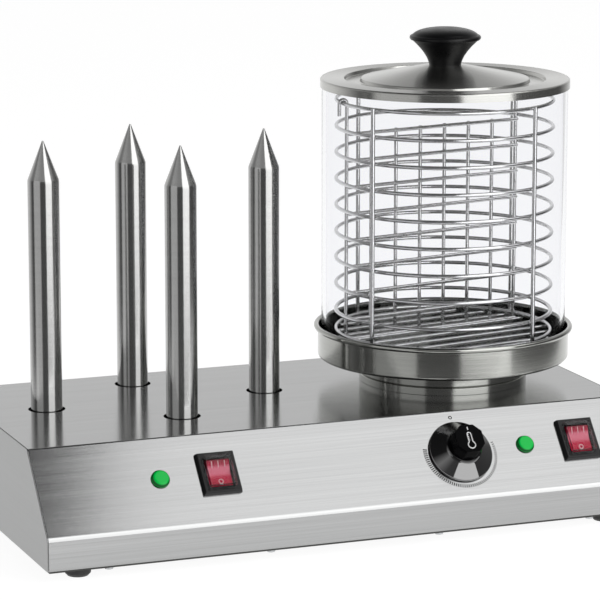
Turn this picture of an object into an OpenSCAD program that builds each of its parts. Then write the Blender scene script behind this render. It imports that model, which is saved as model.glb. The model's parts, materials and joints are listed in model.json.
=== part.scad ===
// Hot dog spike machine: a counter appliance in stainless steel.
// Four heated spikes stand on the left, a steamer with a glass cylinder, a wire basket
// and a lid stands on the right, and a sloped panel in front carries the controls.
// Millimetres, +Z up, the feet stand on z = 0 and the front faces -Y.

/* [Body] */
// Width of the body
body_w = 500; // [460:5:600]
// Depth of the body
body_d = 270; // [262:2:320]
// Height of the body above the base plate
body_h = 83; // [76:1:110]
// Height of the upright band below the sloped panel
front_band_h = 25; // [18:1:32]
// Run of the sloped panel from front to back
slope_run = 49.5; // [42:0.5:56]
// Thickness of the body sheet
sheet_t = 1.2; // [0.8:0.1:2]
// Width of the flanges folded in at the lower edge
flange_w = 11; // [10:0.5:12]

/* [Base] */
// Thickness of the base plate
base_t = 1.5; // [1:0.1:2.5]
// Step from the body's outline to the edge of the base plate
base_inset = 2; // [0.5:0.5:3]
// Number of ventilation slots in each row
vent_count = 6; // [3:1:8]
// Length of a ventilation slot
vent_l = 45; // [20:1:60]
// Width of a ventilation slot
vent_w = 5; // [3:0.5:8]
// Distance between neighbouring ventilation slots
vent_pitch = 18; // [12:1:24]
// Diameter of the base plate screws
base_screw_d = 3.5; // [3:0.5:4]
// Distance of the base plate screws from the body's outline
base_screw_inset = 6.5; // [6:0.25:7]

/* [Feet] */
// Diameter of a foot where it meets the base plate
foot_d = 20; // [16:1:24]
// Height of a foot
foot_h = 8.5; // [6:0.5:20]
// Distance of a foot's centre from the end of the body
foot_inset_x = 30; // [17:1:40]
// Distance of a foot's centre from the front and back of the body
foot_inset_y = 21; // [20:1:40]
// Diameter of the foot screws
foot_screw_d = 4; // [3:0.5:5]

/* [Spikes] */
// Diameter of a spike
spike_d = 25; // [20:0.5:30]
// Height of a spike's tip above the top plate
spike_rise = 214.5; // [150:0.5:260]
// Length of the cone at the tip
spike_cone_h = 31; // [20:1:45]
// Gap around a spike in the top plate
spike_gap = 2.2; // [1:0.1:3]
// Distance of the middle of the spikes from the left end
spike_from_left = 145; // [135:1:160]
// Distance of the middle of the spikes from the back
spike_from_back = 98; // [92:1:105]
// Distance of the left and right spikes from the middle
spike_half_x = 92; // [70:1:96]
// Distance of the front and rear spikes from the middle
spike_half_y = 61.5; // [50:0.5:64]
// Diameter of the threaded stub below a spike
spike_stub_d = 16; // [14:0.5:18]
// Diameter of the heater cartridge inside a spike
cartridge_d = 10; // [8:0.5:11]
// Length of the heater cartridge
cartridge_l = 150; // [100:5:190]
// Height of the carrier's top face above the base plate
carrier_h = 30; // [28:1:40]
// Sheet thickness of the carrier
carrier_t = 3; // [2:0.5:4]
// Margin of the carrier around the spike centres
carrier_margin = 22; // [20:1:24]
// Length of the carrier's legs from front to back
carrier_leg_l = 110; // [80:1:116]

/* [Steamer] */
// Distance of the steamer's axis from the right end
steam_from_right = 109; // [107:1:130]
// Distance of the steamer's axis from the back
steam_from_back = 106.5; // [106.5:0.5:125]
// Diameter of the neck below the bowl
neck_d = 138; // [124:1:160]
// Height of the neck between the top plate and the bowl
neck_h = 19.5; // [19.5:0.5:30]
// Height of the lower ring of the neck
neck_ring_h = 6.5; // [6:0.5:11]
// Wall thickness of the neck rings
neck_t = 2; // [1.5:0.25:3]
// Opening in the top plate below the bowl
neck_opening_d = 104; // [102:1:110]
// Height of the bowl up to the middle of its rolled rim
bowl_h = 25; // [15:0.5:40]
// Sheet thickness of the bowl
bowl_t = 1.2; // [0.8:0.1:2]
// Radius of the rolled rim
bead_r = 2.25; // [1.75:0.25:3]
// Outer diameter of the glass cylinder
glass_d = 200; // [190:1:202]
// Wall thickness of the glass cylinder
glass_t = 3.5; // [2.5:0.25:5]
// Height of the glass cylinder
glass_h = 227; // [160:1:280]
// Gap between the glass and the bowl's wall
glass_gap = 1.8; // [1:0.1:3]

/* [Heater] */
// Diameter of the ring that the heating tube is bent to
heater_ring_d = 90; // [84:1:92]
// Diameter of the heating tube
heater_tube_d = 8; // [6:0.5:8.5]
// Part of a full turn that the heating tube covers
heater_angle = 330; // [300:1:335]
// Diameter of the clamp disc below the heating tube
clamp_d = 112; // [104:1:116]
// Thickness of the clamp disc
clamp_t = 2; // [1:0.5:3]
// Diameter of the stud below the bowl
stud_d = 8; // [6:0.5:10]
// Length of the tie bar below the top plate
tie_l = 132; // [120:1:150]
// Width of the tie bar
tie_w = 22; // [18:1:26]
// Thickness of the tie bar
tie_t = 3; // [2:0.5:5]

/* [Basket] */
// Number of rings
ring_count = 10; // [5:1:12]
// Diameter of the ring wire
ring_wire = 3.2; // [2:0.1:4]
// Diameter of the post wire
post_wire = 3.5; // [2.5:0.1:4.5]
// Diameter of the divider and floor wire
grid_wire = 3; // [2:0.1:4]
// Gap between the basket's posts and the glass
basket_gap = 3.2; // [2:0.1:6]
// Distance of the top ring below the edge of the glass
basket_top_drop = 16; // [12:0.5:20]
// Height of the lowest ring above the bowl's floor
basket_floor_rise = 21.3; // [14:0.1:24]
// Height of the second ring above the lowest
ring_first_gap = 16.2; // [12:0.1:22]
// Angle of the first post
post_turn = 28; // [27:1:60]
// Angle of the divider
divider_turn = 10.5; // [5:0.5:12]
// Distance of the divider behind the basket's axis
divider_offset = 17.5; // [15:0.5:19]
// Number of upright wires in the divider
picket_count = 8; // [4:1:9]
// Number of wires in the basket's floor
floor_wire_count = 8; // [4:2:10]
// How far the divider's hooks reach down outside the top ring
hook_drop = 10; // [6:0.5:14]

/* [Lid] */
// Sheet thickness of the lid
lid_t = 1; // [0.6:0.1:1.5]
// Height of the lid's rim band
lid_skirt_h = 6; // [5:0.5:12]
// Outer diameter of the groove in the lid
lid_groove_d = 164; // [150:1:170]
// Width of the groove
lid_groove_w = 14; // [8:1:20]
// Depth of the groove
lid_groove_h = 3; // [1:0.5:5]
// Rise of the lid's cone
lid_rise = 11; // [5:0.5:20]
// Diameter of the lid knob
lid_knob_d = 58; // [45:1:70]
// Height of the lid knob
lid_knob_h = 30; // [24:1:40]
// Diameter of the lid knob's foot
lid_knob_foot_d = 26; // [20:1:30]
// Diameter of the screw that holds the lid knob
lid_screw_d = 5; // [4:0.5:6]

/* [Controls] */
// Height of the lamps and switches up the sloped panel
control_up = 41; // [38:0.5:44]
// Height of the knob up the sloped panel
knob_up = 39.5; // [38:0.5:42]
// Distance of the left lamp from the left end
lamp_left_x = 98; // [70:1:105]
// Distance of the left switch from the left end
switch_left_x = 144.5; // [135:0.5:200]
// Distance of the knob from the right end
knob_x = 154; // [150:1:165]
// Distance of the right lamp from the right end
lamp_right_x = 97.5; // [92:0.5:105]
// Distance of the right switch from the right end
switch_right_x = 51.5; // [40:0.5:55]

/* [Thermostat] */
// Diameter of the knob's skirt
knob_d = 52; // [46:1:56]
// Height of the knob
knob_h = 24.5; // [20:0.5:27]
// Width of the knob's grip
grip_w = 23; // [20:0.5:25]
// Length of the knob's grip
grip_l = 23.5; // [21:0.5:26]
// Corner cut of the knob's grip
grip_cut = 6; // [4:0.5:8]
// Diameter of the thermostat shaft
shaft_d = 6; // [5:0.5:7]
// Width of the thermostat body
thermostat_w = 42; // [38:1:50]
// Height of the thermostat body
thermostat_l = 36; // [30:1:40]
// Depth of the thermostat body
thermostat_depth = 22; // [18:1:26]
// Distance of the fixing screws from the shaft
thermostat_screw_x = 14; // [12:0.5:16]

/* [Switches] */
// Width of a switch bezel
bezel_w = 32; // [27:0.5:34]
// Height of a switch bezel
bezel_l = 35; // [31:0.5:40]
// Thickness of a switch bezel
bezel_t = 4; // [3:0.25:5]
// Depth of the switch body behind the bezel
switch_depth = 22; // [18:1:26]
// Wall of the switch body beside the rocker
switch_wall = 2.1; // [1.5:0.1:2.5]
// Width of a rocker
rocker_w = 18.2; // [16:0.2:20]
// Radius of a rocker's ends about its pivot
rocker_r = 11.5; // [10:0.25:12]
// Angle of a rocker's face on either side of the middle
rocker_tilt = 11; // [8:0.5:12]
// Diameter of a rocker's pivot pins
pivot_d = 3; // [2:0.25:3.5]
// Height of a splash cap above its bezel
cap_h = 4.6; // [4.2:0.1:7]
// Wall of a splash cap
cap_t = 0.8; // [0.6:0.1:1.2]

/* [Lamps] */
// Diameter of a lamp lens
lens_d = 14.8; // [13.5:0.1:18]
// Height of a lamp lens
lens_h = 3.6; // [2:0.1:6]
// Diameter of a lamp body
lamp_d = 11.6; // [9:0.1:12]
// Depth of a lamp body behind the panel
lamp_depth = 26; // [15:1:32]

/* [Mains inlet] */
// Distance of the gland from the right end
gland_from_right = 60; // [40:1:90]
// Height of the gland above the base plate
gland_up = 36; // [25:1:45]
// How far the gland stands out of the back
gland_reach = 16; // [12:0.5:24]
// Bore of the gland
gland_bore_d = 8; // [6:0.25:9]
// Thread diameter of the gland
gland_thread_d = 16; // [14:0.5:18]

/* [Fits] */
// Gap below a piece that can be lifted off
seat_gap = 0.2; // [0.1:0.05:0.4]
// Radial gap of the lid on the glass
lid_gap = 0.4; // [0.3:0.05:0.8]
// Radial running clearance of shafts and pins
run_gap = 0.05; // [0.02:0.01:0.09]
// Radial clearance of screws, studs and bodies in their holes
hole_gap = 0.2; // [0.1:0.05:0.4]
// Gap between welded wires
weld_gap = 0.05; // [0.02:0.01:0.1]

/* [Hidden] */
$fn = 64;

// The body's box is centred on the origin, with the gland counted in its depth.
back_y = (body_d - gland_reach) / 2;
front_y = back_y - body_d;
end_x = body_w / 2;
z0 = foot_h + base_t;
z_bend = z0 + front_band_h;
z_top = z0 + body_h;
slope_top_y = front_y + slope_run;
panel_tilt = atan(slope_run / (body_h - front_band_h));
under_top = z_top - sheet_t;

// Screws share these proportions of their diameter.
head_ratio = 1.9;
head_h_ratio = 0.55;
nut_ratio = 1.75;
nut_h_ratio = 0.8;
chamfer = 0.4;

// Spikes
spike_r = spike_d / 2;
spike_x = spike_from_left - end_x;
spike_y = back_y - spike_from_back;
spike_seat = z0 + carrier_h;
spike_nut_h = 8;
spike_nut_af = spike_stub_d * 1.5;
stub_end = spike_seat - carrier_t - spike_nut_h - 3;
shank_step = 0.5;
tip_r = 0.6;
carrier_foot_w = 16;
carrier_screw_d = 4;

// Steamer
steam_x = end_x - steam_from_right;
steam_y = back_y - steam_from_back;
glass_r = glass_d / 2;
glass_in_r = glass_r - glass_t;
bowl_z = z_top + neck_h;
floor_z = bowl_z + bowl_t;
bead_z = bowl_z + bowl_h;
bowl_in_r = glass_r + glass_gap;
bowl_r = bowl_in_r + bowl_t;
bowl_corner = 0.7 * glass_gap;
glass_z = floor_z + seat_gap;
glass_top = glass_z + glass_h;
neck_r = neck_d / 2;
neck_split = z_top + neck_ring_h;
neck_groove = 0.8;
spigot_h = neck_ring_h - neck_t - 0.5;
stud_nut_h = nut_h_ratio * stud_d;
stud_end = under_top - tie_t - stud_nut_h - 3;

// Heater
heater_r = heater_tube_d / 2;
heater_z = bowl_z - heater_r - weld_gap;
clamp_top = heater_z - heater_r - weld_gap;
clamp_z = clamp_top - clamp_t;
terminal_d = heater_tube_d * 0.7;
terminal_drop = 20;
terminal_end = z_top - terminal_drop;
bulb_d = heater_tube_d * 0.75;
bulb_l = heater_ring_d * 0.55;
bulb_y = 14;
capillary_d = 2;
capillary_x = -bulb_l / 2 - 6;
cutout_d = 16;
cutout_h = 9;
cutout_x = 24;
cutout_y = 16;
cutout_tab = [0.8, 6, 7];

// Basket
post_r = glass_in_r - basket_gap - post_wire / 2;
ring_r = post_r - post_wire / 2 - ring_wire / 2 - weld_gap;
ring_top = glass_top - basket_top_drop;
ring_low = floor_z + basket_floor_rise;
ring_pitch = (ring_top - ring_low - ring_first_gap) / (ring_count - 2);
grid_r = grid_wire / 2;
floor_wire_z = ring_low - ring_wire / 2 - grid_r - weld_gap;
rail_shift = grid_wire + weld_gap;
hook_r = (ring_wire + grid_wire) / 2 + weld_gap;
hook_turn = asin(divider_offset / (ring_r - hook_r));
picket_span = 2 * (ring_r - hook_r) * cos(hook_turn);
picket_pitch = picket_span / (picket_count - 1);
picket_low = ring_low - rail_shift - grid_r;

// Lid
lid_z = glass_top + seat_gap;
lid_r = glass_r + lid_gap + lid_t;
lid_top = lid_z + lid_t;
lid_knob_z = lid_top + lid_rise;
lid_washer_t = 1.2;

// Controls
switch_z = bezel_t - 1.5;
rocker_lift = 3.5;
pivot_z = switch_z - rocker_lift;
rocker_gap = 0.3;
rocker_root = 4;
pocket_w = rocker_w + 2 * rocker_gap;
pocket_l = 2 * (rocker_r + rocker_gap);
pocket_low = pivot_z - rocker_r * 0.65;
pin_reach = 1.9;
switch_body_w = pocket_w + 2 * switch_wall;
switch_body_l = pocket_l + 2 * switch_wall;
knob_lift = 0.8;
knob_base_h = 11;
knob_rim_h = 1.8;
knob_step = 1.5;
shaft_in = 15;
lens_rim = 1;
bush_d = shaft_d + 4;
thermostat_screw_d = 4;
thermostat_back = sheet_t + thermostat_depth + weld_gap;
blade = [0.8, 6.3, 8];
blade_end = switch_depth + blade[2] + weld_gap;
panel_at = [
  ["lamp_left", lamp_left_x - end_x, control_up],
  ["switch_left", switch_left_x - end_x, control_up],
  ["knob", end_x - knob_x, knob_up],
  ["lamp_right", end_x - lamp_right_x, control_up],
  ["switch_right", end_x - switch_right_x, control_up]
];

// Mains inlet and wiring
gland_flange_h = 5;
gland_nut_h = 5;
block_size = [46, 22, 20];
block_way = 15;
block_x = end_x - gland_from_right;
block_y = back_y - 45;
block_screw_d = 3;
block_screw_x = 7.5;
lead_d = 2.4;
lead_up = 5;
lead_out = 16;
lead_from_front = 62;
lead_in_front = front_y + lead_from_front;
lead_entry_h = 8;

function arc(c, r, a0, a1, n = 12) =
  [for (i = [0:n]) let (a = a0 + (a1 - a0) * i / n) c + r * [cos(a), sin(a)]];

function bezier(a, b, c, n = 10) =
  [for (i = [0:n]) let (t = i / n) (1 - t) * (1 - t) * a + 2 * t * (1 - t) * b + t * t * c];

// A path through the middles of a line's stretches, rounded at its corners
function rounded(p, n = 3) = concat(
  [p[0]],
  [for (i = [1:len(p) - 2]) each bezier((p[i - 1] + p[i]) / 2, p[i], (p[i] + p[i + 1]) / 2, n)],
  [p[len(p) - 1]]
);

function panel_place(name) = panel_at[search([name], panel_at)[0]];

// A point given in the panel's local axes, in the body's axes
function panel_point(name, p) = let (place = panel_place(name), up = place[2] + p[1]) [
  place[1] + p[0],
  front_y + up * sin(panel_tilt) - p[2] * cos(panel_tilt),
  z_bend + up * cos(panel_tilt) + p[2] * sin(panel_tilt)
];

function unit(v) = v / norm(v);

function path_tangent(p, i) = unit(p[min(i + 1, len(p) - 1)] - p[max(i - 1, 0)]);

// Each ring's first direction is the last one turned square to the path.
function path_normals(p, i = 0, last = [0.31, 0.27, 0.91]) =
  i == len(p) ? [] :
  let (t = path_tangent(p, i), m = unit(last - (last * t) * t))
  concat([m], path_normals(p, i + 1, m));

// A round wire swept along a list of points
module wire(p, d, sides = 8) {
  m = path_normals(p);
  n = len(p);
  points = [
    for (i = [0:n - 1]) let (t = path_tangent(p, i), b = cross(t, m[i]))
    for (k = [0:sides - 1]) p[i] + d / 2 * (cos(360 * k / sides) * m[i] + sin(360 * k / sides) * b)
  ];
  walls = [
    for (i = [0:n - 2]) for (k = [0:sides - 1])
    let (k2 = (k + 1) % sides, a = i * sides)
    each [[a + k, a + sides + k2, a + k2], [a + k, a + sides + k, a + sides + k2]]
  ];
  ends = [
    for (k = [1:sides - 2])
    each [[0, k, k + 1], [(n - 1) * sides, (n - 1) * sides + k + 1, (n - 1) * sides + k]]
  ];
  polyhedron(points, concat(walls, ends));
}

module at_steam(z = 0) {
  translate([steam_x, steam_y, z]) children();
}

// Local axes on the sloped panel: X along it, Y up it and Z out of it
module on_panel(name) {
  place = panel_place(name);
  translate([place[1], front_y + place[2] * sin(panel_tilt), z_bend + place[2] * cos(panel_tilt)])
    rotate([90 - panel_tilt, 0, 0]) children();
}

module at_spikes() {
  for (s = [[-1, 0], [0, 1], [0, -1], [1, 0]])
    translate([spike_x + s[0] * spike_half_x, spike_y + s[1] * spike_half_y, 0]) children();
}

module at_feet() {
  for (x = [-1, 1], y = [front_y + foot_inset_y, back_y - foot_inset_y])
    translate([x * (end_x - foot_inset_x), y, 0]) children();
}

module at_base_screws() {
  for (x = [-0.4, -0.14, 0.14, 0.4], y = [front_y + base_screw_inset, back_y - base_screw_inset])
    translate([x * body_w, y, 0]) children();
}

module at_carrier_screws() {
  from_middle = spike_half_x + carrier_margin + carrier_foot_w / 2;
  for (x = [-1, 1], y = [-1, 1])
    translate([spike_x + x * from_middle, spike_y + y * carrier_leg_l / 4, 0]) children();
}

module hole(d, low, high) {
  translate([0, 0, low]) cylinder(d = d + 2 * hole_gap, h = high - low);
}

// A screw that points along +Z, with its head below z = 0
module screw(d, l) {
  head_r = d * head_ratio / 2;
  rotate_extrude() polygon([
    [0, -d * head_h_ratio], [head_r - chamfer, -d * head_h_ratio], [head_r, chamfer - d * head_h_ratio],
    [head_r, 0], [d / 2, 0], [d / 2, l - chamfer], [d / 2 - chamfer, l], [0, l]
  ]);
}

module hex_nut(af, h, bore) {
  difference() {
    cylinder(d = af / cos(30), h = h, $fn = 6);
    translate([0, 0, -1]) cylinder(d = bore, h = h + 2);
  }
}

// Outline of the body seen from its end
function body_outline() = [
  [front_y, z0], [front_y, z_bend], [slope_top_y, z_top], [back_y, z_top], [back_y, z0]
];

module along_x(x, l) {
  translate([x, 0, 0]) rotate([90, 0, 90]) linear_extrude(l) children();
}

module housing_shell() {
  t = sheet_t;
  color("lightgray") difference() {
    along_x(t - end_x, body_w - 2 * t) polygon(concat(body_outline(), [
      [back_y - flange_w, z0], [back_y - flange_w, z0 + t], [back_y - t, z0 + t], [back_y - t, under_top],
      [slope_top_y + t * tan(45 - panel_tilt / 2), under_top],
      [front_y + t, z_bend - t * tan(panel_tilt / 2)],
      [front_y + t, z0 + t], [front_y + flange_w, z0 + t], [front_y + flange_w, z0]
    ]));
    at_spikes() translate([0, 0, under_top - 1]) cylinder(d = spike_d + 2 * spike_gap, h = t + 2);
    at_steam(under_top - 1) cylinder(d = neck_opening_d, h = t + 2);
    at_base_screws() hole(base_screw_d, z0 - 1, z0 + t + 1);
    for (name = ["lamp_left", "lamp_right"]) on_panel(name) hole(lamp_d, -t - 1, 1);
    for (name = ["switch_left", "switch_right"]) on_panel(name)
      translate([0, 0, -t / 2])
        cube([switch_body_w + 2 * hole_gap, switch_body_l + 2 * hole_gap, t + 2], center = true);
    on_panel("knob") {
      hole(bush_d, -t - 1, 1);
      for (x = [-1, 1]) translate([x * thermostat_screw_x, 0, 0]) hole(thermostat_screw_d, -t - 1, 1);
    }
    at_gland() hole(gland_thread_d, -t - 1, 1);
  }
}

module side_panel(side) {
  t = sheet_t;
  x = side < 0 ? -end_x : end_x - t;
  inner = side < 0 ? -end_x : end_x - flange_w;
  free = flange_w + 2;
  color("silver") union() {
    along_x(x, t) polygon(body_outline());
    translate([inner, front_y + free, z0]) cube([flange_w, body_d - 2 * free, t]);
    translate([inner, slope_top_y + free, under_top - t])
      cube([flange_w, back_y - free - slope_top_y - free, t]);
  }
}

module base_plate() {
  slot_row = [-1, 1];
  color("gray") difference() {
    translate([base_inset - end_x, front_y + base_inset, foot_h])
      cube([body_w - 2 * base_inset, body_d - 2 * base_inset, base_t]);
    for (i = [0:vent_count - 1], s = slot_row)
      translate([steam_x + (i - (vent_count - 1) / 2) * vent_pitch, steam_y + s * (vent_l * 0.7), z0])
        cube([vent_w, vent_l, 3 * base_t], center = true);
    at_feet() hole(foot_screw_d, foot_h - 1, z0 + 1);
    at_base_screws() hole(base_screw_d, foot_h - 1, z0 + 1);
    at_carrier_screws() hole(carrier_screw_d, foot_h - 1, z0 + 1);
    at_block_screws() hole(block_screw_d, foot_h - 1, z0 + 1);
  }
}

module base_plate_screws() {
  color("dimgray") at_base_screws() translate([0, 0, foot_h]) screw(base_screw_d, base_t + sheet_t + 4);
}

module foot(x, y) {
  recess_d = foot_screw_d * head_ratio + 1.6;
  recess_h = foot_h * 0.5;
  translate([x, y, 0]) color("black") rotate_extrude() polygon([
    [foot_screw_d / 2 + hole_gap, recess_h], [recess_d / 2, recess_h], [recess_d / 2, 0],
    [foot_d / 2 - 2, 0], [foot_d / 2 - 1, 1], [foot_d / 2, foot_h - 1], [foot_d / 2, foot_h],
    [foot_screw_d / 2 + hole_gap, foot_h]
  ]);
}

module foot_screws() {
  color("silver") at_feet() translate([0, 0, foot_h * 0.5])
    screw(foot_screw_d, foot_h * 0.5 + base_t + nut_h_ratio * foot_screw_d + 1);
}

module foot_nuts() {
  color("silver") at_feet() translate([0, 0, z0])
    hex_nut(foot_screw_d * nut_ratio, nut_h_ratio * foot_screw_d, foot_screw_d + hole_gap);
}

// The gland's local Z points out of the back.
module at_gland() {
  translate([end_x - gland_from_right, back_y, z0 + gland_up]) rotate([-90, 0, 0]) children();
}

module cable_gland() {
  dome_h = 3;
  thread_l = sheet_t + gland_nut_h + 3;
  color("#202224") at_gland() difference() {
    union() {
      cylinder(d = gland_thread_d * 1.5, h = gland_flange_h, $fn = 6);
      cylinder(d = gland_thread_d * 1.25, h = gland_reach - dome_h);
      translate([0, 0, gland_reach - dome_h])
        cylinder(d1 = gland_thread_d * 1.25, d2 = gland_thread_d * 0.9, h = dome_h);
      translate([0, 0, -thread_l]) cylinder(d = gland_thread_d, h = thread_l + 1);
    }
    translate([0, 0, -thread_l - 1]) cylinder(d = gland_bore_d, h = thread_l + gland_reach + 2);
  }
}

module cable_gland_nut() {
  color("#202224") at_gland() translate([0, 0, -sheet_t - gland_nut_h])
    hex_nut(gland_thread_d * 1.5, gland_nut_h, gland_thread_d + hole_gap);
}

module spike(sx, sy) {
  bore_r = cartridge_d / 2 + hole_gap;
  translate([spike_x + sx * spike_half_x, spike_y + sy * spike_half_y, 0]) color("gainsboro")
    rotate_extrude() polygon([
      [bore_r, stub_end], [spike_stub_d / 2, stub_end], [spike_stub_d / 2, spike_seat],
      [spike_r - shank_step, spike_seat], [spike_r - shank_step, z_top], [spike_r, z_top],
      [spike_r, z_top + spike_rise - spike_cone_h], [tip_r, z_top + spike_rise], [0, z_top + spike_rise],
      [0, stub_end + cartridge_l + 1], [bore_r, stub_end + cartridge_l + 1]
    ]);
}

module spike_cartridges() {
  color("dimgray") at_spikes() translate([0, 0, stub_end]) cylinder(d = cartridge_d, h = cartridge_l);
}

module spike_nuts() {
  color("silver") at_spikes() translate([0, 0, spike_seat - carrier_t - spike_nut_h])
    hex_nut(spike_nut_af, spike_nut_h, spike_stub_d + hole_gap);
}

module spike_carrier() {
  plate_w = 2 * (spike_half_x + carrier_margin);
  plate_l = 2 * (spike_half_y + carrier_margin);
  color("darkgray") difference() {
    union() {
      translate([spike_x - plate_w / 2, spike_y - plate_l / 2, spike_seat - carrier_t])
        cube([plate_w, plate_l, carrier_t]);
      for (s = [-1, 1]) {
        leg_x = spike_x + s * plate_w / 2 - (s > 0 ? carrier_t : 0);
        foot_x = spike_x + s * (plate_w / 2 + carrier_foot_w / 2);
        translate([leg_x, spike_y - carrier_leg_l / 2, z0]) cube([carrier_t, carrier_leg_l, carrier_h]);
        translate([foot_x - carrier_foot_w / 2 - 1, spike_y - carrier_leg_l / 2, z0])
          cube([carrier_foot_w + 2, carrier_leg_l, carrier_t]);
      }
    }
    at_spikes() hole(spike_stub_d, spike_seat - carrier_t - 1, spike_seat + 1);
    at_carrier_screws() hole(carrier_screw_d, z0 - 1, z0 + carrier_t + 1);
  }
}

module carrier_screws() {
  color("silver") at_carrier_screws() translate([0, 0, foot_h])
    screw(carrier_screw_d, base_t + carrier_t + 4);
}

module water_bowl() {
  wall_turn = acos((bowl_t - bead_r) / bead_r);
  color("lightgray") at_steam() rotate_extrude($fn = 128) polygon(concat(
    [[0, floor_z]],
    arc([bowl_in_r - bowl_corner, floor_z + bowl_corner], bowl_corner, -90, 0, 6),
    arc([bowl_in_r + bead_r, bead_z], bead_r, 180, -wall_turn, 16),
    arc([bowl_r - bowl_corner - bowl_t, bowl_z + bowl_corner + bowl_t], bowl_corner + bowl_t, 0, -90, 6),
    [[stud_d / 2, bowl_z], [stud_d / 2, stud_end], [0, stud_end]]
  ));
}

module bowl_collar() {
  inner = neck_r - neck_t - hole_gap;
  color("silver") at_steam() rotate_extrude($fn = 128) polygon([
    [inner, neck_split], [neck_r - neck_groove, neck_split], [neck_r, neck_split + neck_groove],
    [neck_r, bowl_z], [inner - neck_t, bowl_z], [inner - neck_t, neck_split - spigot_h],
    [inner, neck_split - spigot_h]
  ]);
}

module neck_ring() {
  lip_r = neck_opening_d / 2;
  color("silver") at_steam() rotate_extrude($fn = 128) polygon([
    [lip_r, z_top], [neck_r, z_top], [neck_r, neck_split - neck_groove], [neck_r - neck_groove, neck_split],
    [neck_r - neck_t, neck_split], [neck_r - neck_t, z_top + neck_t], [lip_r, z_top + neck_t]
  ]);
}

module at_terminals() {
  gap = (360 - heater_angle) / 2;
  for (s = [-1, 1]) rotate([0, 0, s * gap - 90]) translate([heater_ring_d / 2, 0, 0]) children();
}

module heater_ring() {
  gap = (360 - heater_angle) / 2;
  color("#4a4642") at_steam() {
    translate([0, 0, heater_z]) rotate([0, 0, gap - 90])
      rotate_extrude(angle = heater_angle, $fn = 96) translate([heater_ring_d / 2, 0]) circle(r = heater_r);
    at_terminals() translate([0, 0, terminal_end]) cylinder(d = terminal_d, h = heater_z - terminal_end);
  }
}

module element_clamp() {
  color("darkgray") at_steam() difference() {
    translate([0, 0, clamp_z]) cylinder(d = clamp_d, h = clamp_t);
    hole(stud_d, clamp_z - 1, clamp_top + 1);
    at_terminals() hole(terminal_d + 1, clamp_z - 1, clamp_top + 1);
    translate([capillary_x, bulb_y, 0]) hole(capillary_d + 2, clamp_z - 1, clamp_top + 1);
  }
}

module element_nut() {
  color("silver") at_steam(clamp_z - stud_nut_h)
    hex_nut(stud_d * nut_ratio, stud_nut_h, stud_d + hole_gap);
}

module tie_bar() {
  color("darkgray") at_steam() difference() {
    translate([-tie_l / 2, -tie_w / 2, under_top - tie_t]) cube([tie_l, tie_w, tie_t]);
    hole(stud_d, under_top - tie_t - 1, under_top + 1);
  }
}

module tie_nut() {
  color("silver") at_steam(under_top - tie_t - stud_nut_h)
    hex_nut(stud_d * nut_ratio, stud_nut_h, stud_d + hole_gap);
}

module glass_cylinder() {
  color("aliceblue", 0.3) at_steam(glass_z) difference() {
    cylinder(r = glass_r, h = glass_h, $fn = 128);
    translate([0, 0, -1]) cylinder(r = glass_in_r, h = glass_h + 2, $fn = 128);
  }
}

// The rings are even but for the lowest, which is closer to the next.
function ring_z(i) = i == 0 ? ring_low : ring_low + ring_first_gap + (i - 1) * ring_pitch;

module basket_rings() {
  color("gainsboro") at_steam() for (i = [0:ring_count - 1])
    translate([0, 0, ring_z(i)])
      rotate_extrude($fn = 96) translate([ring_r, 0]) circle(d = ring_wire, $fn = 24);
}

module basket_posts() {
  low = floor_z + seat_gap;
  color("gainsboro") at_steam() for (i = [0:3])
    rotate([0, 0, post_turn + 90 * i]) translate([post_r, 0, low])
      cylinder(d = post_wire, h = ring_top + ring_wire / 2 - low, $fn = 24);
}

// Parallel wires welded below the lowest ring
module basket_floor() {
  pitch = 2 * (ring_r - grid_wire) / (floor_wire_count + 1);
  color("gainsboro") at_steam(floor_wire_z) rotate([0, 0, divider_turn])
    for (i = [0:floor_wire_count - 1]) {
      off = (i - (floor_wire_count - 1) / 2) * pitch;
      reach = sqrt(ring_r * ring_r - off * off);
      translate([-reach, off, 0]) rotate([0, 90, 0]) cylinder(d = grid_wire, h = 2 * reach, $fn = 24);
    }
}

// Rails and pickets lie side by side, and the end pickets hook over the top ring.
module basket_divider() {
  color("gainsboro") at_steam() rotate([0, 0, divider_turn]) {
    translate([-picket_span / 2, divider_offset, 0]) {
      for (i = [0:ring_count - 2])
        translate([0, -rail_shift, ring_z(i) - rail_shift]) rotate([0, 90, 0])
          cylinder(d = grid_wire, h = picket_span, $fn = 24);
      for (i = [1:picket_count - 2])
        translate([i * picket_pitch, 0, picket_low])
          cylinder(d = grid_wire, h = ring_z(ring_count - 2) - ring_low + grid_wire, $fn = 24);
    }
    for (turn = [hook_turn, 180 - hook_turn]) rotate([0, 0, turn]) divider_hook();
  }
}

// An end picket that bends outwards over the top ring and down again
module divider_hook() {
  foot = [ring_r - hook_r, 0, picket_low];
  over = [for (a = [180:-15:0]) [ring_r + hook_r * cos(a), 0, ring_top + hook_r * sin(a)]];
  tail = [ring_r + hook_r, 0, ring_top - hook_drop];
  wire(concat([foot], over, [tail]), grid_wire, 12);
}

module lid_pan() {
  groove_r = lid_groove_d / 2;
  cone_r = groove_r - lid_groove_w;
  hole_r = lid_screw_d / 2 + hole_gap;
  seat_r = lid_knob_foot_d / 2 + 1;
  face = [
    [lid_r - chamfer, 0], [groove_r, 0], [groove_r - lid_groove_h, -lid_groove_h],
    [cone_r + 1, -lid_groove_h], [cone_r, 0], [seat_r, lid_rise], [hole_r, lid_rise]
  ];
  back = [for (i = [len(face) - 1:-1:1]) face[i] - [0, lid_t]];
  color("lightgray") at_steam(lid_top) rotate_extrude($fn = 128) polygon(concat(
    [[lid_r, -lid_t - lid_skirt_h], [lid_r, -chamfer]], face, back,
    [[lid_r - lid_t, -lid_t], [lid_r - lid_t, -lid_t - lid_skirt_h]]
  ));
}

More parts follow.
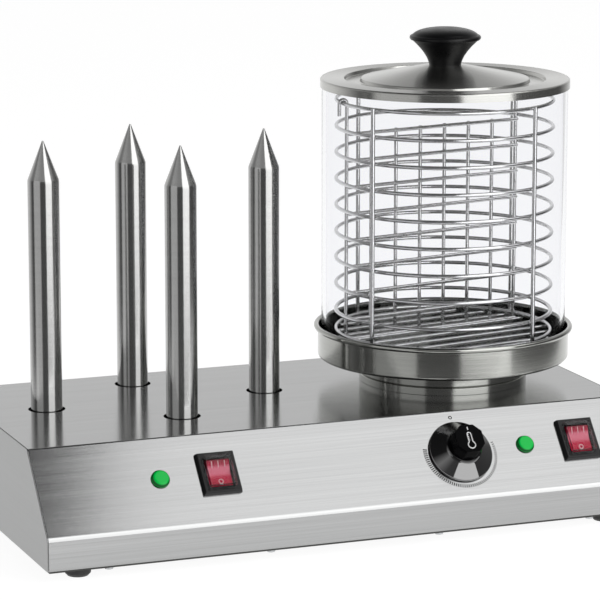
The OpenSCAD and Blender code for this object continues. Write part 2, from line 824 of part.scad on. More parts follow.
module lid_knob() {
  r = lid_knob_d / 2;
  foot_r = lid_knob_foot_d / 2;
  brim = lid_knob_h * 0.66;
  hole_r = lid_screw_d / 2 + hole_gap;
  hole_h = lid_knob_h * 0.5;
  color("#1c1c1e") at_steam(lid_knob_z) rotate_extrude() polygon(concat(
    [[hole_r, 0]],
    bezier([foot_r, 0], [foot_r * 1.13, lid_knob_h * 0.3], [r - 2, brim]),
    arc([r - 2, brim + 2], 2, -60, 60, 5),
    bezier([r - 2, brim + 4], [r * 0.75, lid_knob_h], [0, lid_knob_h]),
    [[0, hole_h], [hole_r, hole_h]]
  ));
}

module lid_knob_washer() {
  color("silver") at_steam(lid_knob_z - lid_t - lid_washer_t) difference() {
    cylinder(d = lid_screw_d * 2.6, h = lid_washer_t);
    hole(lid_screw_d, -1, lid_washer_t + 1);
  }
}

module lid_knob_screw() {
  low = lid_knob_z - lid_t - lid_washer_t;
  color("silver") at_steam(low) screw(lid_screw_d, lid_t + lid_washer_t + lid_knob_h * 0.45);
}

module thermostat_body() {
  color("#8a6a3a") on_panel("knob") difference() {
    union() {
      translate([-thermostat_w / 2, -thermostat_l / 2, -sheet_t - thermostat_depth])
        cube([thermostat_w, thermostat_l, thermostat_depth]);
      translate([0, 0, -sheet_t - 1]) cylinder(d = bush_d, h = sheet_t + 2.5);
    }
    translate([0, 0, -shaft_in - 0.5]) cylinder(d = shaft_d + 2 * run_gap, h = shaft_in + 10);
    for (x = [-1, 1]) translate([x * thermostat_screw_x, 0, 0]) hole(thermostat_screw_d, -sheet_t - 8, 0);
  }
}

module thermostat_shaft() {
  color("silver") on_panel("knob") translate([0, 0, -shaft_in])
    cylinder(d = shaft_d, h = shaft_in + knob_base_h - 2);
}

module thermostat_screws() {
  color("silver") on_panel("knob") for (x = [-1, 1])
    translate([x * thermostat_screw_x, 0, 0]) rotate([180, 0, 0]) screw(thermostat_screw_d, sheet_t + 6);
}

// A low cone with a raised grip whose upper end shows the setting
module thermostat_knob() {
  r = knob_d / 2;
  wall = 2.5;
  top_r = grip_l / 2 + knob_step;
  cone_r = top_r + knob_step;
  hub_r = bush_d / 2 + 1.5;
  bore_r = shaft_d / 2 + run_gap / 2;
  roof = knob_base_h - wall;
  x = grip_w / 2;
  y = grip_l / 2;
  color("#1c1c1e") on_panel("knob") union() {
    rotate_extrude() polygon([
      [bore_r, knob_base_h - 1.5], [bore_r, 2.5], [hub_r, 2.5], [hub_r, roof],
      [cone_r - wall, roof], [r - wall, knob_lift], [r, knob_lift], [r, knob_lift + knob_rim_h],
      [cone_r, knob_base_h - knob_step], [top_r, knob_base_h], [0, knob_base_h], [0, knob_base_h - 1.5]
    ]);
    translate([0, 0, knob_base_h - 1]) linear_extrude(knob_h - knob_base_h + 1) polygon([
      [grip_cut - x, y], [x - grip_cut, y], [x, y - grip_cut], [x, grip_cut - y],
      [x - grip_cut, -y], [grip_cut - x, -y], [-x, grip_cut - y], [-x, y - grip_cut]
    ]);
  }
}

// The sensor bulb lies on the clamp disc and its capillary runs down to the thermostat.
module sensor_capillary() {
  z = clamp_top + weld_gap + bulb_d / 2;
  bulb = [steam_x - bulb_l / 2, steam_y + bulb_y, z];
  drop = [steam_x + capillary_x, steam_y + bulb_y, clamp_z];
  corner = [drop[0], drop[1], z];
  below = drop - [0, 0, 2 * neck_h];
  thermostat = panel_point("knob", [0, -8, -thermostat_back]);
  bend = panel_point("knob", [0, -8, -thermostat_back - 25]);
  color("#b87333") {
    at_steam() translate([-bulb_l / 2, bulb_y, z]) rotate([0, 90, 0]) cylinder(d = bulb_d, h = bulb_l);
    wire(rounded([bulb, corner, drop, below, bend, thermostat], 5), capillary_d);
  }
}

module overheat_cutout() {
  color("#e8e4da") at_steam() translate([cutout_x, cutout_y, clamp_z - cutout_h]) union() {
    cylinder(d = cutout_d, h = cutout_h);
    for (x = [-1, 1]) translate([x * cutout_d / 4 - cutout_tab[0] / 2, -cutout_tab[1] / 2, -cutout_tab[2]])
      cube(cutout_tab + [0, 0, 1]);
  }
}

module lamp_lens(name) {
  r = lens_d / 2;
  color("#12a84c") on_panel(name) rotate_extrude() polygon(concat(
    [[0, 0], [r, 0]], bezier([r, lens_rim], [r * 0.85, lens_h], [0, lens_h], 8)
  ));
}

module lamp_body(name) {
  color("#d8d8d0") on_panel(name) translate([0, 0, -lamp_depth]) cylinder(d = lamp_d, h = lamp_depth);
}

module lamp_nuts() {
  nut_h = 4;
  color("#d8d8d0") for (name = ["lamp_left", "lamp_right"]) on_panel(name)
    translate([0, 0, -sheet_t - nut_h]) hex_nut(lamp_d * 1.45, nut_h, lamp_d + hole_gap);
}

module switch_housing(name) {
  color("#161618") on_panel(name) difference() {
    union() {
      translate([-bezel_w / 2, -bezel_l / 2, 0]) cube([bezel_w, bezel_l, bezel_t]);
      translate([-switch_body_w / 2, -switch_body_l / 2, -switch_depth])
        cube([switch_body_w, switch_body_l, switch_depth + 1]);
    }
    translate([-pocket_w / 2, -pocket_l / 2, pocket_low])
      cube([pocket_w, pocket_l, bezel_t + 1 - pocket_low]);
    translate([-pocket_w / 2 - pin_reach, 0, pivot_z]) rotate([0, 90, 0])
      cylinder(d = pivot_d + 2 * run_gap, h = pocket_w + 2 * pin_reach);
  }
}

// At rest the lower half is pressed in, which is off.
module switch_rocker(name) {
  face = rocker_lift / cos(rocker_tilt);
  big = 4 * rocker_r;
  color("#c0202c") on_panel(name) translate([0, 0, pivot_z]) rotate([rocker_tilt, 0, 0]) union() {
    difference() {
      rotate([0, 90, 0]) cylinder(r = rocker_r, h = rocker_w, center = true, $fn = 96);
      for (s = [-1, 1]) translate([0, 0, face]) rotate([s * rocker_tilt, 0, 0])
        translate([-big / 2, s > 0 ? 0 : -big, 0]) cube([big, big, big]);
      translate([-big / 2, -big / 2, -rocker_root - big]) cube([big, big, big]);
    }
    rotate([0, 90, 0])
      cylinder(d = pivot_d, h = pocket_w + 2 * (pin_reach - rocker_gap), center = true);
  }
}

module switch_cap(name) {
  in_w = pocket_w + 1.4;
  in_l = pocket_l + 1.4;
  color("white", 0.35) on_panel(name) translate([0, 0, bezel_t]) difference() {
    translate([-in_w / 2 - cap_t, -in_l / 2 - cap_t, 0]) cube([in_w + 2 * cap_t, in_l + 2 * cap_t, cap_h]);
    translate([-in_w / 2, -in_l / 2, -1]) cube([in_w, in_l, cap_h - cap_t + 1]);
  }
}

module switch_terminals() {
  color("goldenrod") for (name = ["switch_left", "switch_right"]) on_panel(name)
    for (x = [-1, 1], y = [-1, 1])
      translate([x * switch_body_w / 4, y * switch_body_l / 4, -switch_depth - blade[2] / 2])
        cube(blade, center = true);
}

module at_block_screws() {
  for (s = [-1, 1]) translate([block_x + s * block_screw_x, block_y + block_size[1] / 2, 0]) children();
}

module terminal_block() {
  color("#ece8dc") difference() {
    translate([block_x - block_size[0] / 2, block_y, z0]) cube(block_size);
    for (i = [-1:1], y = [0.25, 0.75])
      translate([block_x + i * block_way, block_y + y * block_size[1], z0 + block_size[2] - 6])
        cylinder(d = 5, h = 7);
    at_block_screws() hole(block_screw_d, z0 - 1, z0 + 10);
  }
}

module terminal_block_screws() {
  color("silver") at_block_screws() translate([0, 0, foot_h]) screw(block_screw_d, base_t + 9);
}

function spike_at(s, x) =
  [spike_x + s[0] * spike_half_x + x, spike_y + s[1] * spike_half_y, stub_end - weld_gap];

function low(p) = [p[0], p[1], z0 + lead_up];

function switch_blade(name, sx, sy, more = 0) =
  panel_point(name, [sx * switch_body_w / 4, sy * switch_body_l / 4, -blade_end - more]);

function lamp_back(name, more = 0) = panel_point(name, [0, 0, -lamp_depth - weld_gap - more]);

function block_front(i, more = 0) = [block_x + i * block_way, block_y - weld_gap - more, z0 + lead_entry_h];

// A pin of the heating tube, seen from below
function pin(s) = let (a = s * (360 - heater_angle) / 2 - 90) [
  steam_x + heater_ring_d / 2 * cos(a), steam_y + heater_ring_d / 2 * sin(a), terminal_end - weld_gap
];

function thermostat_tab(s, more = 0) =
  panel_point("knob", [s * thermostat_w / 4, thermostat_l / 4, -thermostat_back - more]);

// Each lead is the line of its main bends, from one terminal to the next.
module wiring_loom() {
  side = cartridge_d / 4;
  front = [0, -1];
  left = [-1, 0];
  rear = [0, 1];
  right = [1, 0];
  around = spike_y + spike_half_y + carrier_margin;
  tab_z = clamp_z - cutout_h - cutout_tab[2] - weld_gap;
  tab = [for (s = [-1, 1]) [steam_x + cutout_x + s * cutout_d / 4, steam_y + cutout_y, tab_z]];
  links = [for (s = [[front, left], [left, rear], [rear, right]])
    let (a = spike_at(s[0], side), b = spike_at(s[1], -side)) [a, low(a), low(b), b]];
  supply = switch_blade("switch_left", 1, -1);
  feed = switch_blade("switch_left", -1, -1);
  first = spike_at(front, -side);
  last = spike_at(right, side);
  block_side = [block_x - block_size[0] / 2 - weld_gap, block_y + block_size[1] / 2, z0 + lead_entry_h];
  down = [0, 0, lead_out];
  leads = concat(links, [
    [block_front(-1), block_front(-1, lead_out), low([block_front(-1)[0], lead_in_front]),
      low([supply[0], lead_in_front]), switch_blade("switch_left", 1, -1, lead_out), supply],
    [feed, switch_blade("switch_left", -1, -1, lead_out), low([first[0], lead_in_front]), low(first), first],
    [last, low(last), low([last[0], around]), low([steam_x, around]),
      block_side - [lead_out, 0, 0], block_side],
    [switch_blade("switch_left", -1, 1), switch_blade("switch_left", -1, 1, lead_out),
      lamp_back("lamp_left", lead_out), lamp_back("lamp_left")],
    [block_front(0), block_front(0, lead_out), low([block_x, lead_in_front]),
      switch_blade("switch_right", 1, -1, lead_out), switch_blade("switch_right", 1, -1)],
    [switch_blade("switch_right", -1, 1), switch_blade("switch_right", -1, 1, lead_out),
      thermostat_tab(1, lead_out), thermostat_tab(1)],
    [lamp_back("lamp_right"), lamp_back("lamp_right", lead_out),
      switch_blade("switch_right", -1, -1, lead_out), switch_blade("switch_right", -1, -1)],
    [thermostat_tab(-1), thermostat_tab(-1, lead_out), pin(-1) - down, pin(-1)],
    [tab[0], tab[0] - down, pin(1) - down, pin(1)],
    [tab[1], tab[1] - down, block_front(1, lead_out), block_front(1)]
  ]);
  color("#b03030") for (p = leads) wire(rounded(p), lead_d, 6);
}

housing_shell();
side_panel(-1);  // side_panel_left
side_panel(1);  // side_panel_right
base_plate();
base_plate_screws();
foot(foot_inset_x - end_x, front_y + foot_inset_y);  // foot_front_left
foot(end_x - foot_inset_x, front_y + foot_inset_y);  // foot_front_right
foot(foot_inset_x - end_x, back_y - foot_inset_y);  // foot_rear_left
foot(end_x - foot_inset_x, back_y - foot_inset_y);  // foot_rear_right
foot_screws();
foot_nuts();
cable_gland();
cable_gland_nut();
spike(-1, 0);  // spike_left
spike(0, 1);  // spike_rear
spike(0, -1);  // spike_front
spike(1, 0);  // spike_right
spike_cartridges();
spike_nuts();
spike_carrier();
carrier_screws();
water_bowl();
bowl_collar();
neck_ring();
heater_ring();
element_clamp();
element_nut();
tie_bar();
tie_nut();
glass_cylinder();
basket_rings();
basket_posts();
basket_floor();
basket_divider();
lid_pan();
lid_knob();
lid_knob_washer();
lid_knob_screw();
thermostat_body();
thermostat_shaft();
thermostat_screws();
thermostat_knob();
sensor_capillary();
overheat_cutout();
lamp_lens("lamp_left");  // lamp_left_lens
lamp_body("lamp_left");  // lamp_left_body
lamp_lens("lamp_right");  // lamp_right_lens
lamp_body("lamp_right");  // lamp_right_body
lamp_nuts();
switch_housing("switch_left");  // switch_left_housing
switch_rocker("switch_left");  // switch_left_rocker
switch_cap("switch_left");  // switch_left_cap
switch_housing("switch_right");  // switch_right_housing
switch_rocker("switch_right");  // switch_right_rocker
switch_cap("switch_right");  // switch_right_cap
switch_terminals();
terminal_block();
terminal_block_screws();
wiring_loom();
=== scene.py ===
# Hot dog spike machine: the finish of every piece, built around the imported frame.
# Metres, +Z up, the control panel faces -Y, the spikes stand at -X and the steamer at +X.
import json
from math import asin, cos, pi, radians, sin, sqrt

import bmesh
import bpy
from mathutils import Matrix, Vector


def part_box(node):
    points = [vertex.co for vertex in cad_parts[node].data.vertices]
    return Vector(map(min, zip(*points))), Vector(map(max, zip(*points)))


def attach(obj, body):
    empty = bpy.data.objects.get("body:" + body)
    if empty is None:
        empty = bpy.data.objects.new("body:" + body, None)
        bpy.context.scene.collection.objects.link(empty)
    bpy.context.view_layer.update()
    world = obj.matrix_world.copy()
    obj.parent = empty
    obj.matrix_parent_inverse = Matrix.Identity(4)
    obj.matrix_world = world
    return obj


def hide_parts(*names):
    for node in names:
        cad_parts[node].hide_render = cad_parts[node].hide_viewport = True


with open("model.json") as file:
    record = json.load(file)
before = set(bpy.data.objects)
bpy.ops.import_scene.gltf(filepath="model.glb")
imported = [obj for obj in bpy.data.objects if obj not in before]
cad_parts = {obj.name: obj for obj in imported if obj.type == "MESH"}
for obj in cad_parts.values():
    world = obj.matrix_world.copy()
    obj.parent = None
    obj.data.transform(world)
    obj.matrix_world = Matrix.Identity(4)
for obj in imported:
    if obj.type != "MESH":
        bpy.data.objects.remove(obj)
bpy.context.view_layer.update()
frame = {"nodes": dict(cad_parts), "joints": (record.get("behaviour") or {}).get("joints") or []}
scene = bpy.context.scene

# Camera: it stands low at the front left, far away behind a long lens, so that the body's edges
# run almost parallel and the right end of the machine leaves the picture.
camera_turn = radians(-21.25)
camera_lift = radians(11.35)
camera_away = 2.609
camera_aim = Vector((0, -0.0177, 0.17537))
lens_angle = radians(10.45)
to_camera = Vector((sin(camera_turn) * cos(camera_lift), -cos(camera_turn) * cos(camera_lift),
                    sin(camera_lift)))
camera = bpy.data.objects.new("camera", bpy.data.cameras.new("camera"))
camera.data.angle = lens_angle
camera.location = camera_aim + camera_away * to_camera
camera.rotation_euler = to_camera.to_track_quat("Z", "Y").to_euler()
scene.collection.objects.link(camera)
scene.camera = camera
scene.view_settings.view_transform = "Standard"


# Studio: a sheet of pale paper that glows a little, in a dark room that is bright behind it and in
# a strip high at the front. The soft light at the front right draws the bright band on every round
# piece, the one at the front left a weaker band, and the one overhead shades the sloped panel.
def add(tree, kind, inputs=None, **settings):
    """Put a node into a tree. An input is a value, or the output that feeds it."""
    made = tree.nodes.new(kind)
    for name, value in settings.items():
        setattr(made, name, value)
    for name, value in (inputs or {}).items():
        if isinstance(value, bpy.types.NodeSocket):
            tree.links.new(value, made.inputs[name])
        else:
            made.inputs[name].default_value = value
    return made


def ramp(tree, value, stops):
    """A colour ramp fed by a value. Each stop is a place and a colour."""
    made = add(tree, "ShaderNodeValToRGB", {"Fac": value})
    elements = made.color_ramp.elements
    for element, (place, colour) in ((elements[0], stops[0]), (elements[1], stops[-1])):
        element.position = place
        element.color = (*colour, 1)
    for place, colour in stops[1:-1]:
        elements.new(place).color = (*colour, 1)
    return made.outputs["Color"]


def finish(name, colour, roughness, metallic=0.0, **sockets):
    """A new material, its tree and its shader, with the values that are the same all over it."""
    made = bpy.data.materials.new(name)
    made.use_nodes = True
    shader = made.node_tree.nodes["Principled BSDF"]
    shader.inputs["Base Color"].default_value = (*colour, 1)
    shader.inputs["Roughness"].default_value = roughness
    shader.inputs["Metallic"].default_value = metallic
    for socket, value in sockets.items():
        shader.inputs[socket.replace("_", " ").title().replace("Ior", "IOR")].default_value = value
    return made, made.node_tree, shader


def put_in_scene(bm, name, material, sharp=40):
    """Turn a bmesh into an object at the origin, smooth between its sharp edges. Where a large
    face runs into a narrow bend, the large one keeps its own direction."""
    mesh = bpy.data.meshes.new(name)
    bm.to_mesh(mesh)
    bm.free()
    mesh.shade_smooth()
    mesh.set_sharp_from_angle(angle=radians(sharp))
    around = [[] for _ in mesh.vertices]
    for face in mesh.polygons:
        for corner in face.vertices:
            around[corner].append((face.normal.copy(), face.area))
    normals = []
    for face in mesh.polygons:
        for corner in face.vertices:
            near = [n * area for n, area in around[corner] if n.dot(face.normal) > cos(radians(sharp))]
            normals.append(sum(near, Vector()).normalized())
    mesh.normals_split_custom_set(normals)
    mesh.materials.append(material)
    made = bpy.data.objects.new(name, mesh)
    scene.collection.objects.link(made)
    return made


paper_half = (0.68, 2.33)
paper_ahead = 1.97
paper_white, _, _ = finish("pale paper", (0.25, 0.25, 0.25), 0.9, specular_ior_level=0.1,
                           emission_strength=0.92)
paper_place = Matrix.Rotation(camera_turn, 4, "Z") @ Matrix.Translation((0, paper_ahead, 0))
bm = bmesh.new()
bmesh.ops.create_grid(bm, x_segments=1, y_segments=1, size=1,
                      matrix=paper_place @ Matrix.Diagonal((*paper_half, 1, 1)))
put_in_scene(bm, "floor", paper_white)

sky = bpy.data.worlds.new("studio")
sky.use_nodes = True
scene.world = sky
direction = add(sky.node_tree, "ShaderNodeTexCoord").outputs["Generated"]
heading = add(sky.node_tree, "ShaderNodeSeparateXYZ", {"Vector": direction}).outputs
behind = add(sky.node_tree, "ShaderNodeMapRange", {"Value": heading["Y"], "From Min": 0.3, "From Max": 0.85})
rear_greys = ((0.0, 0.9), (0.3, 0.8), (0.6, 0.3), (1.0, 0.25))
front_greys = ((0.0, 0.1), (0.3, 0.15), (0.5, 0.6), (0.7, 0.03), (1.0, 0.02))
rear, front = (ramp(sky.node_tree, heading["Z"], [(place, (grey, grey, grey)) for place, grey in greys])
               for greys in (rear_greys, front_greys))
# Sockets 0, 6 and 7 of a colour mix are its factor and its two colours
mixed = add(sky.node_tree, "ShaderNodeMix", {0: behind.outputs["Result"], 6: front, 7: rear},
            data_type="RGBA")
sky.node_tree.links.new(mixed.outputs[2], sky.node_tree.nodes["Background"].inputs["Color"])


def soft_light(name, at, aim, wide, tall, watts):
    lamp = bpy.data.lights.new(name, "AREA")
    lamp.shape = "RECTANGLE"
    lamp.size = wide
    lamp.size_y = tall
    lamp.energy = watts
    holder = bpy.data.objects.new(name, lamp)
    holder.location = at
    holder.rotation_euler = (Vector(at) - Vector(aim)).to_track_quat("Z", "Y").to_euler()
    holder.visible_camera = False
    scene.collection.objects.link(holder)


soft_light("front_right", (0.72, -2.08, 0.88), (0, 0, 0.65), 2.05, 2.5, 32)
soft_light("front_left", (-2.04, -0.82, 0.3), (0, 0, 0.3), 1.9, 1.8, 6)
soft_light("overhead", (1.68, -1.0, 2.3), (1.68, -1.0, 0), 2.3, 2.0, 22)

# Housing shell: one sheet of stainless steel, brushed lengthways. It is folded into the back,
# the top, the sloped panel and the front band, with a flange at each lower edge, and it is
# punched for the spikes, the neck and the controls.
sheet_t = 0.0012
flange_w = 0.011
spike_hole_gap = 0.0022
neck_hole_r = 0.052
steel_grey = (0.42, 0.423, 0.423)
shell_low, shell_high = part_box("housing_shell")
dial_joint = next(j for j in frame["joints"] if j["name"] == "dial_turn")
dial_at = Vector(dial_joint["pos_m"])
panel_out = -Vector(dial_joint["axis"])
along = Vector((1, 0, 0))
panel_up = panel_out.cross(along)
panel_turn = Matrix((along, panel_up, panel_out)).transposed().to_4x4()
panel_foot_z = dial_at.z + (shell_low.y - dial_at.y) * panel_up.z / panel_up.y
panel_top_y = dial_at.y + (shell_high.z - dial_at.z) * panel_up.y / panel_up.z
# The bends from the back round to the front: place in Y and Z, and reach of the curve
bends = [
    (shell_high.y, shell_low.z, 0.0015),
    (shell_high.y, shell_high.z, 0.002),
    (panel_top_y, shell_high.z, 0.0012),
    (shell_low.y, panel_foot_z, 0.0022),
    (shell_low.y, shell_low.z, 0.0015),
]


def noise_between(tree, vector, scale, low, high, detail=4.0):
    """Noise whose middle range is spread from low to high."""
    noise = add(tree, "ShaderNodeTexNoise", {"Vector": vector, "Scale": scale, "Detail": detail})
    return add(tree, "ShaderNodeMapRange", {"Value": noise.outputs["Fac"], "From Min": 0.3, "From Max": 0.7,
                                            "To Min": low, "To Max": high}).outputs["Result"]


def start_group(name, takes, gives):
    """A node group with named sockets, and its input and output nodes."""
    group = bpy.data.node_groups.new(name, "ShaderNodeTree")
    for in_out, sockets in (("INPUT", takes), ("OUTPUT", gives)):
        for label, kind in sockets.items():
            group.interface.new_socket(label, in_out=in_out, socket_type="NodeSocket" + kind)
    return group, group.nodes.new("NodeGroupInput").outputs, group.nodes.new("NodeGroupOutput").inputs


def grain_outputs(group, given, gives, streak):
    """Let a streak lighten the colour and dull the gloss within the group's contrast."""
    least = add(group, "ShaderNodeMath", {0: 1.0, 1: given["Contrast"]}, operation="SUBTRACT").outputs[0]
    most = add(group, "ShaderNodeMath", {0: 1.0, 1: given["Contrast"]}, operation="ADD").outputs[0]
    value = add(group, "ShaderNodeMapRange",
                {"Value": streak, "To Min": least, "To Max": most}).outputs["Result"]
    shade = add(group, "ShaderNodeHueSaturation", {"Value": value, "Color": given["Color"]})
    gloss = add(group, "ShaderNodeMath", {0: given["Roughness"], 1: value}, operation="MULTIPLY")
    group.links.new(shade.outputs["Color"], gives["Color"])
    group.links.new(gloss.outputs[0], gives["Roughness"])
    group.links.new(streak, gives["Height"])


grain_takes = {"Color": "Color", "Stretch": "Vector", "Contrast": "Float", "Roughness": "Float"}
grain_gives = {"Color": "Color", "Roughness": "Float", "Height": "Float"}
brushed, given, gives = start_group("brushed grain", grain_takes, grain_gives)
place = add(brushed, "ShaderNodeTexCoord").outputs["Object"]
lines = add(brushed, "ShaderNodeVectorMath", {0: place, 1: given["Stretch"]}, operation="MULTIPLY").outputs[0]
fine = noise_between(brushed, lines, 1.0, 0.0, 0.6, 6.0)
broad = noise_between(brushed, lines, 0.13, 0.0, 0.4, 3.0)
streak = add(brushed, "ShaderNodeMath", {0: fine, 1: broad}, operation="ADD").outputs[0]
grain_outputs(brushed, given, gives, streak)


def grained(group, material, tree, shader, stretch, contrast, bump, **more):
    """Place a grain group in a material, with its own direction and depth."""
    values = {"Color": tuple(shader.inputs["Base Color"].default_value), "Contrast": contrast,
              "Roughness": shader.inputs["Roughness"].default_value, "Stretch": stretch, **more}
    grain = add(tree, "ShaderNodeGroup", node_tree=group)
    for name, value in values.items():
        grain.inputs[name].default_value = value
    tree.links.new(grain.outputs["Color"], shader.inputs["Base Color"])
    tree.links.new(grain.outputs["Roughness"], shader.inputs["Roughness"])
    relief = add(tree, "ShaderNodeBump",
                 {"Height": grain.outputs["Height"], "Strength": bump, "Distance": 0.0001})
    tree.links.new(relief.outputs["Normal"], shader.inputs["Normal"])
    return material


def across_marks(material, tree, shader, axis, turn=0.0):
    """Spread the gloss across the tool's marks, which run along an axis or, turned, round it."""
    way = add(tree, "ShaderNodeTangent", direction_type="RADIAL", axis=axis).outputs["Tangent"]
    tree.links.new(way, shader.inputs["Tangent"])
    shader.inputs["Anisotropic Rotation"].default_value = turn
    return material, tree, shader


bare_steel = finish("body steel", steel_grey, 0.16, 1.0, anisotropic=0.5)
body_steel = grained(brushed, *across_marks(*bare_steel, "X"), (6, 1100, 1100), 0.08, 0.15)
# The end plates are the body's steel painted darker: painted shade for the darker look of the ends.
shaded_side_steel = grained(brushed, *finish("side steel painted darker", (0.3, 0.303, 0.302), 0.3, 1.0), (900, 5, 900), 0.07, 0.2)


def on_panel(point):
    """The panel's own axes, set where a point of the frame meets its face."""
    return Matrix.Translation(point - (point - dial_at).dot(panel_out) * panel_out) @ panel_turn


def middle(node):
    low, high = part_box(node)
    return (low + high) / 2


def round_bends(bm):
    """Give each bend of the body's outline its curve."""
    for y, z, reach in bends:
        bend = [e for e in bm.edges if all(abs(v.co.y - y) + abs(v.co.z - z) < 1e-6 for v in e.verts)]
        bmesh.ops.bevel(bm, geom=bend, offset=reach, segments=6, profile=0.5, affect="EDGES", material=-1)


def add_box(bm, place, size):
    return bmesh.ops.create_cube(bm, size=1, matrix=place @ Matrix.Diagonal((*size, 1)))["verts"]


def add_rod(bm, start, end, radius, sides=16):
    run = end - start
    place = Matrix.Translation((start + end) / 2) @ run.to_track_quat("Z", "Y").to_matrix().to_4x4()
    return bmesh.ops.create_cone(bm, cap_ends=True, segments=sides, radius1=radius, radius2=radius,
                                 depth=run.length, matrix=place)["verts"]


def cut(bm, tool):
    """What is left of a mesh when another is taken out of it."""
    blocks = []
    for source in (bm, tool):
        mesh = bpy.data.meshes.new("block")
        source.to_mesh(mesh)
        source.free()
        blocks.append(bpy.data.objects.new("block", mesh))
        scene.collection.objects.link(blocks[-1])
    holes = blocks[0].modifiers.new("holes", "BOOLEAN")
    holes.object = blocks[1]
    holes.solver = "EXACT"
    left = bmesh.new()
    left.from_object(blocks[0], bpy.context.evaluated_depsgraph_get())
    for block in blocks:
        bpy.data.objects.remove(block)
    return left


def moved_verts(made):
    return [v for v in made["geom"] if isinstance(v, bmesh.types.BMVert)]


def soften(bm, width, steps=2, least=30, most=180):
    """Round off the edges whose faces meet at more than an angle."""
    edges = [e for e in bm.edges
             if len(e.link_faces) == 2 and radians(least) < e.calc_face_angle() < radians(most)]
    bmesh.ops.bevel(bm, geom=edges, offset=width, segments=steps, profile=0.5, affect="EDGES", material=-1)


def show(bm, name, material, body, slot, *nodes, sharp=40):
    """Show a mesh as a piece that rides on a body and stands for CAD nodes. The slot is not used."""
    piece = put_in_scene(bm, name, material, sharp)
    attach(piece, body)
    if nodes:
        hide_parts(*nodes)
    return piece


spikes = ["spike_left", "spike_rear", "spike_front", "spike_right"]
lamps = {side: on_panel(middle(f"lamp_{side}_body")) for side in ("left", "right")}
rocker_joints = {side: next(j for j in frame["joints"] if j["name"] == f"rocker_{side}_tip")
                 for side in ("left", "right")}
switches = {side: on_panel(Vector(joint["pos_m"])) for side, joint in rocker_joints.items()}
steam_at = middle("glass_cylinder")
spike_r = (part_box("spike_left")[1].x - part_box("spike_left")[0].x) / 2
switch_body = (0.023, 0.0278)
lamp_body_r = 0.0058
bush_r = 0.005
gland_thread_r = 0.008
bm = bmesh.new()
outline = [(shell_high.y - flange_w, shell_low.z)]
outline += [(y, z) for y, z, _ in bends]
outline += [(shell_low.y + flange_w, shell_low.z)]
line = [bm.verts.new((shell_low.x, y, z)) for y, z in outline]
edges = [bm.edges.new(pair) for pair in zip(line, line[1:])]
made = bmesh.ops.extrude_edge_only(bm, edges=edges)
bmesh.ops.translate(bm, verts=moved_verts(made), vec=(shell_high.x - shell_low.x, 0, 0))
round_bends(bm)
bmesh.ops.recalc_face_normals(bm, faces=bm.faces)
if max(bm.faces, key=lambda f: f.calc_center_median().z).normal.z < 0:
    bmesh.ops.reverse_faces(bm, faces=bm.faces)
bmesh.ops.solidify(bm, geom=bm.faces[:], thickness=sheet_t)
tool = bmesh.new()
bite = 0.01
for node in spikes:
    foot = Vector((*middle(node).xy, shell_high.z))
    add_rod(tool, foot - Vector((0, 0, bite)), foot + Vector((0, 0, bite)), spike_r + spike_hole_gap, 64)
foot = Vector((*steam_at.xy, shell_high.z))
add_rod(tool, foot - Vector((0, 0, bite)), foot + Vector((0, 0, bite)), neck_hole_r, 64)
for place in lamps.values():
    add_rod(tool, place @ Vector((0, 0, -bite)), place @ Vector((0, 0, bite)), lamp_body_r, 32)
place = on_panel(dial_at)
add_rod(tool, place @ Vector((0, 0, -bite)), place @ Vector((0, 0, bite)), bush_r, 32)
for place in switches.values():
    add_box(tool, place, (*switch_body, 2 * bite))
foot = Vector((middle("cable_gland").x, shell_high.y, middle("cable_gland").z))
add_rod(tool, foot - Vector((0, bite, 0)), foot + Vector((0, bite, 0)), gland_thread_r, 32)
show(cut(bm, tool), "shell_sheet", body_steel, "housing", "body_steel", "housing_shell", sharp=30)

# Side panels: two end plates of the same sheet, cut to the body's outline and tacked inside
# its folded edges, so that a fine dark seam runs round each end.
seam = 0.0003
rim_soft = 0.0003
for side, node in ((-1, "side_panel_left"), (1, "side_panel_right")):
    bm = bmesh.new()
    end_x = side * (shell_high.x + sheet_t)
    face = bm.faces.new([bm.verts.new((end_x, y, z)) for y, z, _ in bends])
    made = bmesh.ops.extrude_face_region(bm, geom=[face])
    bmesh.ops.translate(bm, verts=moved_verts(made), vec=(-side * (sheet_t - seam), 0, 0))
    round_bends(bm)
    bmesh.ops.recalc_face_normals(bm, faces=bm.faces)
    soften(bm, rim_soft, 2, 60)
    show(bm, node.replace("side_panel", "end_plate"), shaded_side_steel, "housing", "body_steel", node)


# Feet: four moulded rubber buttons with a rounded lower edge, each held up under the base
# plate by a screw whose head sits in a recess.
def lathe(profile, at=(0, 0), steps=96, closed=False):
    """Spin an outline of radius and height points about an upright axis."""
    bm = bmesh.new()
    line = [bm.verts.new((at[0] + r, at[1], z)) for r, z in profile]
    edges = [bm.edges.new(pair) for pair in zip(line, line[1:] + line[:1] if closed else line[1:])]
    bmesh.ops.spin(bm, geom=line + edges, cent=(*at, 0), axis=(0, 0, 1), angle=2 * pi, steps=steps,
                   use_merge=True)
    bmesh.ops.remove_doubles(bm, verts=bm.verts, dist=1e-6)
    bmesh.ops.recalc_face_normals(bm, faces=bm.faces)
    return bm


def arc(centre, radius, start, end, steps=8):
    """Points of a round stretch of an outline, between two angles in degrees."""
    turns = [radians(start + (end - start) * i / steps) for i in range(steps + 1)]
    return [(centre[0] + radius * cos(a), centre[1] + radius * sin(a)) for a in turns]


